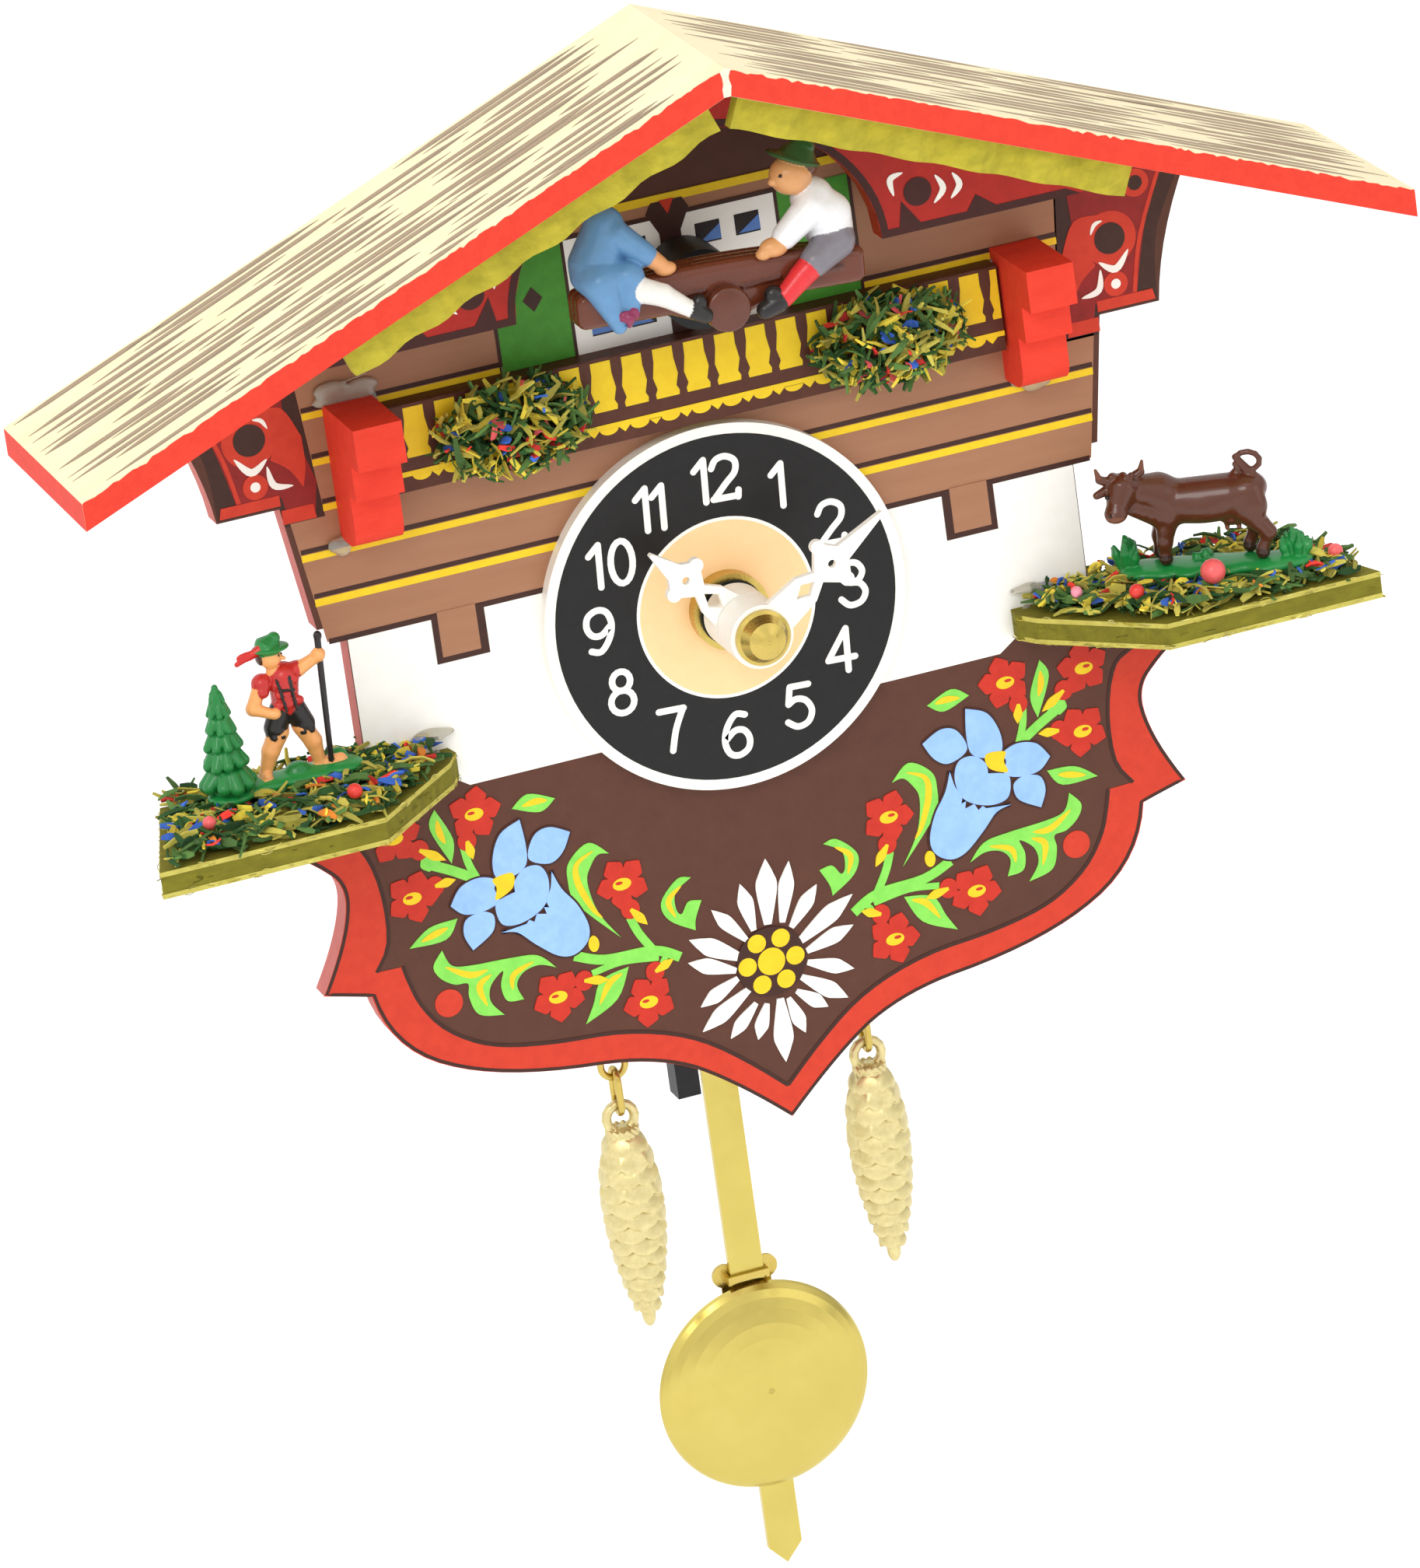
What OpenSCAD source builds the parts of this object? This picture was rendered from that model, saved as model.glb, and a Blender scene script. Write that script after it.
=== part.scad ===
// Miniature chalet wall clock: battery movement, swinging pendulum and a rocking seesaw.
// All modules are drawn round the hand axis: X to the right, Y from the front towards the
// wall, Z up, with y = 0 on the painted front of the front plate. placed() then moves
// everything so that the origin is the nail hole at the wall.

/* [Front plate] */
// Thickness of the front plate
plate_t = 3.2; // [2.5:0.1:5]
// Half width of the white wall
wall_half = 44.9; // [40:0.1:47]
// Half width at the upper ornaments
ornament_half = 57.9; // [54:0.1:60]
// Height of the ornaments' lower corners
ornament_z = 23.6; // [22:0.1:26]
// Height of the bottom of the plank wall
plank_z = 8.4; // [7:0.1:10]
// Half width at the ears of the apron
ear_half = 54; // [52:0.1:58]
// Height of the ears
ear_z = -35.5; // [-37:0.1:-34]
// Height of the apron's lowest point
tip_z = -64.8; // [-70:0.1:-62]

/* [Roof] */
// Half width of the roof, ridge to eave
roof_half = 79.7; // [74:0.1:100]
// Height of the ridge
ridge_z = 71.8; // [69:0.1:80]
// Slope of the roof, in degrees
roof_slope = 22.05; // [20:0.05:24]
// Upright thickness of the roof boards
roof_t = 3.3; // [2.8:0.1:5]
// Overhang of the roof in front of the plate
roof_front = 29; // [24:0.5:36]
// Height of the wavy valances, square to the slope
valance_w = 4; // [3:0.1:6]
// Length of the valances along the slope
valance_l = 49; // [40:0.5:60]
// Thickness of the valances
valance_t = 1.8; // [1.2:0.1:2.5]
// How far the valances sit behind the roof's front edge
valance_inset = 2.6; // [2:0.1:5]
// Length of one wave of the valances
wave_l = 8; // [6:0.5:12]
// Depth of the waves to either side
wave_a = 0.7; // [0.3:0.1:1]

/* [Gable and balcony] */
// Thickness of the gable board and the balcony rail
board_t = 3; // [2:0.1:4]
// Distance from the plate to the gable board's front
gable_front = 9.2; // [8:0.1:11]
// Half width between the gable board's feet
arch_half = 22.2; // [18:0.1:25]
// Height of the gable board's feet
foot_z = 41.7; // [40:0.1:45]
// Half length of the balcony rail
rail_half = 37.5; // [30:0.1:37.7]
// Top of the balcony rail
rail_z = 33.4; // [32:0.1:34]
// Height of the balcony rail
rail_h = 10.3; // [8:0.1:11]
// Width of the stepped brackets
bracket_w = 5.8; // [4:0.1:7]
// Depth of the stepped brackets
bracket_d = 12; // [10:0.5:15]

/* [Shelves] */
// Top of the side shelves
shelf_z = -9.3; // [-10:0.1:-8]
// Thickness of the side shelves
shelf_t = 3.2; // [2.5:0.1:4]
// Half span between the shelves' outer corners
shelf_half = 74.9; // [70:0.1:78]
// Depth of the shelves in front of the plate
shelf_d = 17; // [14:0.5:22]
// Height of the dyed wood chips on the shelves
turf_h = 1.6; // [1:0.1:3]

/* [Dial and hands] */
// Radius of the dial
dial_r = 22.1; // [20:0.1:24]
// Thickness of the dial
dial_t = 1.8; // [1:0.1:2.5]
// Length of the minute hand
minute_l = 19.9; // [16:0.1:21]
// Length of the hour hand
hour_l = 14.9; // [12:0.1:16]
// Angle of the minute hand, clockwise from the top
minute_angle = 56; // [0:1:359]
// Angle of the hour hand, clockwise from the top
hour_angle = 316.6; // [0:0.1:359]
// Radius of the hands' hubs
hub_r = 3.8; // [3.2:0.1:4.5]

/* [Movement] */
// Side of the square movement case
case_w = 56; // [56:0.5:60]
// Depth of the movement case
case_d = 17.5; // [17.5:0.1:20]
// Wall of the movement case
case_wall = 1.4; // [1.2:0.1:1.8]
// Radius of the threaded bush that holds the dial
bush_r = 3.9; // [3.6:0.1:4.2]
// Radial clearance of running fits
fit = 0.06; // [0.02:0.01:0.1]

/* [Pendulum and seesaw] */
// Distance from the back of the movement's case to the pendulum rod
swing_gap = 7.28; // [6.9:0.01:8.3]
// Height of the pendulum's pivot
pivot_z = 14; // [12:0.5:16]
// Height of the seesaw's axle
axle_z = 40.8; // [39:0.1:43]
// Height of the bob's centre
bob_z = -110; // [-116:0.5:-106]
// Radius of the bob
bob_r = 13.5; // [11:0.1:16]
// Height of the pendulum rod's tip
rod_tip_z = -134.4; // [-145:0.1:-132]
// Width of the pendulum rod
rod_w = 4.3; // [3.6:0.1:5]
// Half length of the seesaw plank
plank_half = 16.8; // [15:0.1:18]
// Tilt at which the seesaw rests, right end down
seesaw_tilt = 3; // [0:0.5:4]

/* [Weights] */
// Distance from the plate's front to the hanging cones
weight_y = 7.4; // [7.2:0.1:9]
// Length of a pine cone below its ring
cone_l = 24; // [20:0.5:30]
// Largest radius of a pine cone
cone_r = 3.8; // [3:0.1:4.1]

/* [Hidden] */
$fn = 48;
touch = 0.02;            // gap between pieces that are glued or clamped face to face
slope = tan(roof_slope);
under_z = ridge_z - roof_t;
hole_gap = 0.3;          // clearance of plain holes
hang_z = 45;             // the nail hole
hang_rise = 5.5;         // height of the cradle above the nail
hang_r = 3;              // radius of the nail hole

// Shared places
case_y = plate_t + touch;
case_back_y = case_y + case_d;
swing_y = case_back_y + swing_gap;
wall_y = swing_y + 6;    // the wall behind the clock
lid_d = 4.5;             // depth of the case's rear half
inner_front = case_y + case_wall;
inner_back = case_back_y - case_wall;
bay_z = -13.4;           // underside of the wall over the battery
cell_r = 7.1;
cell_l = 50.5;
cell_z = bay_z - 0.3 - cell_r;
cell_y = inner_front + 0.2 + cell_r;
arbor_r = 0.4;
pivot_depth = 0.8;       // depth of the arbors' blind bearings
tube_r = 2;              // hour tube
minute_r = 1.2;          // minute arbor
hub_gap = 0.4;
nut_r = 4.6;
nut_t = 2;
nut_y = -dial_t - touch - nut_t;
hour_hub_y = nut_y - 1;          // back end of the hour hub
hour_hub_l = 4.4;
minute_hub_y = hour_hub_y - hour_hub_l - hub_gap;
minute_hub_l = 4.6;
hand_t = 0.9;

// Wheels: module, teeth and the layer that each one turns in
m_train = 0.28;
m_step = 0.32;
m_cannon = 0.35;
pinion_n = 10;
centre_n = 80;
third_n = 75;
second_n = 50;
step_n = 60;
cannon_n = 12;
motion_n = 36;
hour_n = 40;
motion_d = m_cannon * (cannon_n + motion_n) / 2;
m_motion = motion_d * 2 / (pinion_n + hour_n);
layer = [for (i = [0:5]) inner_front + 0.6 + 1.7 * i];
wheel_t = 1;
function polar(r, a) = [r * cos(a), r * sin(a)];
third_p = polar(m_train * (centre_n + pinion_n) / 2, 160);
second_p = third_p + polar(m_train * (third_n + pinion_n) / 2, 75);
step_p = second_p + polar(m_step * (second_n + pinion_n) / 2, 0);
rotor_p = step_p + polar(m_train * (step_n + pinion_n) / 2, -30);
motion_p = polar(motion_d, -20);
knob_p = motion_p + polar(motion_d, 20);
// Turn of the second wheel of a pair, so that its gap meets the first one's tooth
function mesh(n1, turn1, n2, a) = a + 180 - (turn1 - a) * n1 / n2 - 180 / n2;

// Pendulum and seesaw linkage
link_r = (axle_z - pivot_z) / 2;
link_z = pivot_z + link_r;
pin_r = 0.8;
crank_y = case_back_y + 2.7;
crank_t = 1.8;
leader_y = swing_y - 1.6;
leader_t = 2;
foot_d = 3.2;
cradle_half = 12;
cradle_low = -27;
cradle_wall = 1.6;
rod_t = 0.8;
rod_top_z = -67.5;
peg_z = -66.4;           // cross peg that the rod's hook sits on
foot_x = 5.8;            // how far the leader's foot stands to the left

// Hanging weights: place of each hook, left and right
hook_x = [-18.8, 12.6];
hook_z = -52;
hook_r = 0.5;
wire_r = 0.42;
ring_r = 1.75;
ring_z = hook_z - 10.6;
cone_top_z = ring_z - ring_r - 0.45;

// ---- helpers ----
// Everything is moved so that the nail hole at the wall is the origin
module placed() translate([0, -wall_y, -hang_z]) children();
// A flat shape in X and Z, given thickness t from y towards the wall
module slab(y, t) translate([0, y + t, 0]) rotate([90, 0, 0]) linear_extrude(t) children();
// A round bar along Y
module bar(r, y0, y1, x = 0, z = 0) translate([x, y0, z]) rotate([-90, 0, 0]) cylinder(r = r, h = y1 - y0);
module scale_x(side) if (side < 0) mirror([1, 0, 0]) children(); else children();
function bend(p, q, r, n = 8) = [for (i = [1:n]) let (t = i / n)
    (1 - t) * (1 - t) * p + 2 * t * (1 - t) * q + t * t * r];
function flip(points) = [for (i = [len(points) - 1:-1:0]) [-points[i][0], points[i][1]]];
// A long chain link of wire radius wire_r between heights low and high, rounded with radius r
module link(low, high, r) {
    for (end = [[high - r, 0], [low + r, 180]]) translate([0, 0, end[0]]) rotate([90, end[1], 0])
        rotate_extrude(angle = 180) translate([r, 0]) circle(r = wire_r, $fn = 20);
    for (x = [-r, r]) translate([x, 0, low + r]) cylinder(r = wire_r, h = high - low - 2 * r, $fn = 20);
}

// ---- front plate ----
// Right half of the plate's outline, from the ridge to the apron's tip
top_x = 64.6;
top_corner = [top_x, under_z - touch - top_x * slope];
ledge_z = shelf_z - shelf_t - touch;
horn_x = 61;
waist = [49.8, -25];
neck = [48.4, ear_z - 1.5];
belly = [40, -48];
hip = [22, -52.4];
dip = [11, -55.8];
plate_half = concat(
    [[0, under_z - touch], top_corner],
    bend(top_corner, [ornament_half + 1, 32.5], [ornament_half, ornament_z]),
    [[wall_half + 5.5, ornament_z], [wall_half + 3.3, plank_z], [wall_half, plank_z],
     [wall_half, ledge_z], [horn_x, ledge_z], [horn_x, ledge_z - 2]],
    bend([horn_x, ledge_z - 2], [54.5, -17.6], [51.4, -20.8]),
    bend([51.4, -20.8], [49.6, -22.4], waist),
    bend(waist, [50.2, -29], [ear_half, ear_z]),
    [neck],
    bend(neck, [47.2, -44.5], belly),
    bend(belly, [33.5, -51.3], hip),
    bend(hip, [15.5, -53.2], dip),
    bend(dip, [6.5, -58.6], [0, tip_z]));

module front_plate() color("saddlebrown") difference() {
    slab(0, plate_t) polygon(concat(plate_half, flip([for (i = [1:len(plate_half) - 2]) plate_half[i]])));
    bar(bush_r + hole_gap, -1, plate_t + 1);
    bar(pin_r + fit, -1, plate_t + 1, z = axle_z);
}

// ---- roof ----
module roof_board() color("wheat") slab(-roof_front, roof_front + plate_t) polygon([
    [touch / 2, ridge_z], [roof_half, ridge_z - roof_half * slope],
    [roof_half, under_z - roof_half * slope], [touch / 2, under_z]]);
module roof_left() scale_x(-1) roof_board();
module roof_right() roof_board();

// A strip sawn to a wave, standing square under the slope
module valance() color("yellowgreen") {
    steps = 6;
    n = round(valance_l / wave_l * steps);
    front = [for (i = [0:n]) [valance_l * i / n, wave_a * sin(360 * i / steps)]];
    back = [for (i = [n:-1:0]) front[i] + [0, valance_t]];
    drop = (under_z - touch) * cos(roof_slope);
    rotate([0, roof_slope, 0])
        translate([under_z * sin(roof_slope) * -1 + 0.6 + valance_w * slope, -roof_front + valance_inset, drop - valance_w])
            linear_extrude(valance_w) polygon(concat(front, back));
}
module valance_left() scale_x(-1) valance();
module valance_right() valance();

// ---- gable board and balcony ----
arch_h = 17.8;
gable_half = 47;
module gable_board() color("firebrick") slab(-gable_front, board_t) difference() {
    polygon([[-gable_half, foot_z], [-gable_half, under_z - touch - gable_half * slope],
        [0, under_z - touch], [gable_half, under_z - touch - gable_half * slope],
        [gable_half, foot_z]]);
    polygon([for (a = [0:10:180]) [arch_half * cos(a), foot_z - touch + arch_h * sin(a)]]);
}
module balcony_rail() color("gold") translate([-rail_half, -board_t - touch, rail_z - rail_h])
    cube([rail_half * 2, board_t, rail_h]);

bracket_x = rail_half + 0.4;
module bracket() color("orangered") {
    top = 34.7;
    foot = 18.6;
    d = bracket_d;
    profile = concat(
        [[-touch, top], [-d, top], [-d, top - 5], [-d + 3, top - 5], [-d + 3, top - 9.4],
         [-d + 5.5, top - 9.4], [-d + 5.5, top - 13.6]],
        bend([-d + 5.5, top - 13.6], [-d + 5.7, foot], [-3, foot]), [[-touch, foot]]);
    translate([bracket_x, 0, 0]) rotate([90, 0, 90]) linear_extrude(bracket_w) polygon(profile);
}
module bracket_left() scale_x(-1) bracket();
module bracket_right() bracket();

// Clump of dyed wood chips in front of the rail
module flowers() color("olivedrab") intersection() {
    translate([-24, -board_t - 2 * touch - 9, 22.6]) cube([19, 9, 11.4]);
    union() for (i = [0:2]) translate([-19 + 4.6 * i, -board_t, 28.4 + 0.8 * (i % 2)]) sphere(r = 6.2, $fn = 24);
}
module flowers_left() translate([-8.5, 0, 0]) flowers();
module flowers_right() translate([8.5, 0, 0]) scale_x(-1) flowers();

// ---- shelves ----
function shelf_outline(in, back) = [[35 + in, -touch - back], [34.7 + in, -2.2], [36.4 + in, -5],
    [48 + in * 0.6, -shelf_d + in], [shelf_half - in * 1.4, -shelf_d + in],
    [shelf_half - 6 - in, plate_t - back], [wall_half + 0.1 + back, plate_t - back],
    [wall_half + 0.1 + back, -touch - back]];
module shelf() color("darkkhaki") translate([0, 0, shelf_z - shelf_t])
    linear_extrude(shelf_t) polygon(shelf_outline(0, 0));
module turf() color("olive") translate([0, 0, shelf_z + touch])
    linear_extrude(turf_h) polygon(shelf_outline(1.2, 0.4));
module shelf_left() scale_x(-1) shelf();
module shelf_right() shelf();
module turf_left() scale_x(-1) turf();
module turf_right() turf();
turf_z = shelf_z + turf_h + 2 * touch;

// ---- figures on the shelves ----
// A tapered limb from p to q with blunt ends
module limb(p, q, r1, r2) {
    step = q - p;
    l = norm(step);
    translate(p) rotate([0, acos(step[2] / l), atan2(step[1], step[0])]) rotate_extrude($fn = 20)
        polygon([[0, -0.8 * r1], [0.75 * r1, -0.5 * r1], [r1, 0], [r2, l], [0.75 * r2, l + 0.5 * r2], [0, l + 0.8 * r2]]);
}
module hiker() color("indianred") translate([-54.3, -4, turf_z]) {
    for (x = [-3, 0, 3.2]) translate([x, 0, 0]) cylinder(r = 3, h = meadow_t);
    limb([-2.2, -0.6, 1.7], [-3.7, 0, 1.9], 0.75, 0.8);
    limb([-3.4, 0, 2.3], [-0.9, 0, 6.8], 0.85, 1.15);
    limb([5.6, -0.3, 1.9], [2.9, 0, 1.8], 0.6, 0.75);
    limb([2.7, 0, 2.2], [1.6, 0, 7], 0.8, 1.1);
    limb([-0.9, 0, 7.5], [1.6, 0, 7.7], 1.7, 1.65);
    limb([0.1, 0, 8.8], [0.3, 0, 12.2], 1.8, 2);
    limb([-1.6, 0, 12.5], [2.2, 0, 13.1], 1.3, 1.25);
    limb([-0.5, 0, 13], [-0.9, 0, 15.6], 1, 1.6);
    limb([-2.4, 0, 12.2], [-4, -0.4, 9.9], 0.9, 0.75);
    limb([-3.9, -0.5, 9.9], [-1.7, -1.4, 8.9], 0.65, 0.55);
    limb([2.4, 0, 12.9], [4.9, -0.5, 14.4], 0.8, 0.6);
    limb([4.3, -0.6, 1.4], [4.7, -0.6, 16.6], 0.42, 0.5);
    translate([-1, 0, 16.3]) cylinder(r1 = 2.1, r2 = 0.9, h = 1.8);
}
module fir_tree() color("forestgreen") translate([-63.4, -5.5, turf_z]) {
    cylinder(r1 = 2.7, r2 = 2.3, h = 1.4);
    cylinder(r = 0.9, h = 3);
    for (i = [0:4]) translate([0, 0, 1.8 + 2.1 * i]) cylinder(r1 = 2.9 - 0.45 * i, r2 = 1.2 - 0.2 * i, h = 2.6);
    translate([0, 0, 11.6]) cylinder(r1 = 0.8, r2 = 0.15, h = 1.9);
}
meadow_t = 1.2;
module on_meadow() translate([53, -6, turf_z]) rotate([0, 0, -28.6]) children();
module cow_meadow() color("green") on_meadow() {
    for (x = [-3, 3, 8.5, 12.5]) translate([x, 0, 0]) cylinder(r = 3.4, h = meadow_t);
    for (x = [-4.8, 14.8]) translate([x, 0, 0.5]) cylinder(r1 = 2, r2 = 0.9, h = 3.8);
}
module cow() color("saddlebrown") on_meadow() translate([0, 0, meadow_t + touch]) {
    for (leg = [[0, -1.2, 0.4], [-0.9, 1.4, 0.2], [11.2, -1, 9.8], [9.8, 1.5, 9]]) {
        translate([leg[0], leg[1], 0]) cylinder(r = 0.8, h = 0.7);
        limb([leg[0], leg[1], 1], [leg[2], leg[1] * 0.5, 6.4], 0.7, 1.4);
    }
    limb([0.5, 0.4, 8.4], [9, 0.4, 9.3], 3.3, 3.2);
    limb([-0.6, 0, 9.6], [-4.2, -2.6, 11.8], 2.8, 2.1);
    limb([-4.6, -3, 12], [-4.6, -4.3, 9], 1.9, 1.3);
    limb([-5.6, -3.5, 13], [-7.6, -4.6, 15.4], 0.7, 0.3);
    limb([-3.6, -2.4, 13], [-2.6, -1.9, 15], 0.65, 0.3);
    limb([10.4, 0.4, 11.2], [12.6, 0.4, 12.6], 0.5, 0.4);
}

// ---- seesaw ----
plank_y = -17.5;
plank_d = 5;
bore_depth = 3.5;
module tilted() translate([0, 0, axle_z]) rotate([0, seesaw_tilt, 0]) children();
end_low = -0.1;          // the plank's height at its ends, over the axle
end_high = 4.3;
seat_z = 5.4;            // where the riders sit
module plank_side() polygon(concat(
    [[-plank_half, end_high]],
    bend([-plank_half, end_high], [0, end_high + 4.1], [plank_half, end_high]),
    [[plank_half, end_low]],
    bend([plank_half, end_low], [6, end_low], [2.4, -2.4]),
    bend([-2.4, -2.4], [-6, end_low], [-plank_half, end_low])));
// A rider, cut to sit on the plank and against its front
module seated() tilted() difference() {
    children();
    slab(plank_y - touch, plank_d + 2 * touch) translate([0, touch]) plank_side();
}
module seesaw_plank() color("sienna") tilted() difference() {
    union() {
        slab(plank_y, plank_d) plank_side();
        bar(2.6, plank_y - 1.5, plank_y + 1);
    }
    bar(pin_r + touch, plank_y + plank_d - bore_depth, plank_y + plank_d + 1);
}
leg_y = -3.6;            // the near legs hang in front of the plank
module girl() color("steelblue") seated() translate([-11.5, plank_y + plank_d / 2, 0]) {
    limb([-2, 0, seat_z + 2.4], [-1.2, 0, seat_z + 6.6], 2.5, 1.8);
    translate([-0.5, 0, seat_z + 10]) sphere(r = 2.1, $fn = 24);
    limb([-0.4, -1.6, seat_z + 5.6], [4.2, -2, seat_z + 0.8], 0.9, 0.7);
    limb([0.4, leg_y, seat_z - 1], [7.4, leg_y, 1.2], 1.1, 0.9);
    limb([-1.8, -1.2, seat_z + 1.6], [0.2, leg_y + 0.5, seat_z - 0.8], 1.3, 0.8);
}
module boy() color("whitesmoke") seated() translate([10.6, plank_y + plank_d / 2, 0]) {
    limb([2.8, 0, seat_z + 2.2], [1.4, 0, seat_z + 5.6], 2.4, 2);
    translate([-0.6, 0, seat_z + 8.2]) sphere(r = 2.3, $fn = 24);
    translate([0, 0, seat_z + 9.2]) cylinder(r1 = 2.5, r2 = 0.9, h = 2.6);
    limb([0.6, -1.6, seat_z + 5.2], [-4.6, -2, seat_z + 0.8], 0.9, 0.7);
    limb([3.4, leg_y, seat_z - 1.4], [-6.4, leg_y, 1], 1.1, 0.9);
    limb([3, -1.2, seat_z + 1.4], [3.2, leg_y + 0.5, seat_z - 0.9], 1.3, 0.8);
}
disc_y = -9.4;
disc_d = 6.6;
module rocker_disc() color("black") difference() {
    bar(4.7, disc_y, disc_y + disc_d, z = axle_z);
    bar(pin_r + touch, disc_y - 1, disc_y + disc_d + 1, z = axle_z);
}
module rocker_axle() color("silver")
    bar(pin_r, plank_y + plank_d - bore_depth + touch, crank_y + crank_t, z = axle_z);
module rocker_crank() color("dimgray") difference() {
    union() {
        bar(2.4, crank_y, crank_y + crank_t, z = axle_z);
        translate([-2, crank_y, link_z - 2.4]) cube([4, crank_t, link_r + 1]);
    }
    bar(pin_r + touch, crank_y - 1, crank_y + crank_t + 1, z = axle_z);
    translate([-pin_r - fit, crank_y - 1, link_z - 3]) cube([2 * (pin_r + fit), crank_t + 2, 5]);
}

// ---- dial and hands ----
module dial() color("ivory") difference() {
    bar(dial_r, -dial_t - touch, -touch, $fn = 96);
    bar(bush_r + hole_gap / 2, -dial_t - 1, 1);
}
module shaft_nut() color("goldenrod") difference() {
    bar(nut_r, nut_y, nut_y + nut_t - touch);
    bar(bush_r + touch, nut_y - 1, 1);
}
// A pierced hand that points up: ring, open loop, two lobes and a long tip
module hand_shape(l, lobe_at, lobe_out, bore) difference() {
    union() {
        circle(r = hub_r - 0.4);
        polygon([[-2.2, hub_r * 0.8], [-1.9, lobe_at - 4.6], [-0.7, lobe_at - 2.4],
            [0.7, lobe_at - 2.4], [1.9, lobe_at - 4.6], [2.2, hub_r * 0.8]]);
        polygon([[-0.8, lobe_at - 2.6], [-lobe_out, lobe_at - 0.9], [-lobe_out, lobe_at + 0.3],
            [-1.1, lobe_at + 1.4], [-0.2, l], [0.2, l], [1.1, lobe_at + 1.4],
            [lobe_out, lobe_at + 0.3], [lobe_out, lobe_at - 0.9], [0.8, lobe_at - 2.6]]);
        for (x = [-1, 1]) translate([x * lobe_out, lobe_at - 0.3]) circle(r = 0.85, $fn = 24);
    }
    circle(r = bore);
    translate([0, lobe_at - 0.4]) circle(r = 0.5, $fn = 24);
    polygon([[0, lobe_at - 6.2], [-0.95, lobe_at - 4.7], [0, lobe_at - 3.2], [0.95, lobe_at - 4.7]]);
}
module hand(l, lobe_at, lobe_out, bore, hub_y, hub_l, turn) color("white") rotate([0, turn, 0]) {
    slab(hub_y - hub_l + 0.4, hand_t) hand_shape(l, lobe_at, lobe_out, bore);
    difference() {
        bar(hub_r, hub_y - hub_l, hub_y);
        bar(bore, hub_y - hub_l - 1, hub_y + 1);
    }
}
module hour_hand() hand(hour_l, 9.8, 2.1, tube_r, hour_hub_y, hour_hub_l, hour_angle);
module minute_hand() hand(minute_l, 12, 2.7, minute_r, minute_hub_y, minute_hub_l, minute_angle);
cap_y = minute_hub_y - minute_hub_l - touch;
module hand_cap() color("gold") translate([0, cap_y, 0]) rotate([90, 0, 0]) rotate_extrude()
    polygon([[0, 0], [3.3, 0], [3.3, 0.5], [2.9, 0.7], [2.2, 1.9], [1, 2.5], [0, 2.6]]);

// ---- movement case ----
module case_block(y, d) translate([-case_w / 2, y, -case_w / 2]) cube([case_w, d, case_w]);
front_d = case_d - lid_d;
arbors = [third_p, second_p, step_p, rotor_p];
module case_front() color("dimgray") difference() {
    union() {
        difference() {
            case_block(case_y, front_d);
            translate([-case_w / 2 + case_wall, inner_front, bay_z + case_wall])
                cube([case_w - 2 * case_wall, front_d, case_w / 2 - bay_z - 2 * case_wall]);
            translate([-case_w / 2 + case_wall, inner_front, -case_w / 2 - 1])
                cube([case_w - 2 * case_wall, front_d, case_w / 2 + bay_z + 1]);
        }
        bar(bush_r, nut_y - 0.4, inner_front);
        bar(0.7, inner_front - 0.2, layer[1] + wheel_t + 0.4, motion_p[0], motion_p[1]);
    }
    bar(tube_r + fit, nut_y - 1, inner_front + 1);
    for (p = arbors) bar(arbor_r + fit, inner_front - pivot_depth, inner_front + 1, p[0], p[1]);
    bar(arbor_r + fit, inner_front - pivot_depth, inner_front + 1, knob_p[0], knob_p[1]);
}
module case_back() color("black") difference() {
    translate([-case_w / 2, case_back_y - lid_d + touch, bay_z])
        cube([case_w, lid_d - touch, case_w / 2 - bay_z]);
    translate([-case_w / 2 + case_wall, case_back_y - lid_d - 1, bay_z + case_wall])
        cube([case_w - 2 * case_wall, lid_d + 1 - case_wall, case_w / 2 - bay_z - 2 * case_wall]);
    for (p = concat(arbors, [[0, 0]]))
        bar(arbor_r + fit, inner_back - 1, inner_back + pivot_depth, p[0], p[1]);
    bar(0.9 + fit, inner_back - 1, case_back_y + 1, knob_p[0], knob_p[1]);
}
module circuit_board() color("darkgreen") translate([-25.6, inner_back - 2.2, -8]) cube([11.2, 1, 27]);
stator_y = layer[5] + wheel_t + 0.9;
module stator() color("gray") slab(stator_y, 0.8) difference() {
    translate([rotor_p[0] - 4.5, rotor_p[1] - 8]) square([19.2, 16]);
    translate(rotor_p) circle(r = 2.7);
    translate([rotor_p[0] + 5, rotor_p[1] - 5.2]) square([5.2, 10.4]);
}
coil_r = 3;
module drive_coil() color("orange") translate([rotor_p[0] + 12.45, stator_y + 0.4, rotor_p[1] - 5]) difference() {
    cylinder(r = coil_r, h = 10);
    translate([-2.35, -0.5, -1]) cube([4.7, 1, 12]);
}

// ---- wheels ----
// A toothed disc: n teeth of module m, one of them pointing at angle turn
module teeth(m, n, turn) {
    r = m * n / 2;
    root = r - 1.05 * m;
    tip = r + 0.8 * m;
    pitch = 360 / n;
    polygon([for (i = [0:n - 1], k = [[-0.27, root], [-0.11, tip], [0.11, tip], [0.27, root]])
        polar(k[1], turn + (i + k[0]) * pitch)]);
}
module wheel(m, n, turn, y, p, bore = 0) translate([p[0], 0, p[1]]) slab(y, wheel_t) difference() {
    teeth(m, n, turn);
    if (bore > 0) circle(r = bore);
}
module arbor(p) bar(arbor_r, inner_front - pivot_depth + 0.1, inner_back + pivot_depth - 0.1, p[0], p[1], $fn = 24);
centre_turn = 0;
third_turn = mesh(centre_n, centre_turn, pinion_n, 160);
second_turn = mesh(third_n, 0, pinion_n, 75);
step_turn = mesh(second_n, 0, pinion_n, 0);
rotor_turn = mesh(step_n, 0, pinion_n, -30);
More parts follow.
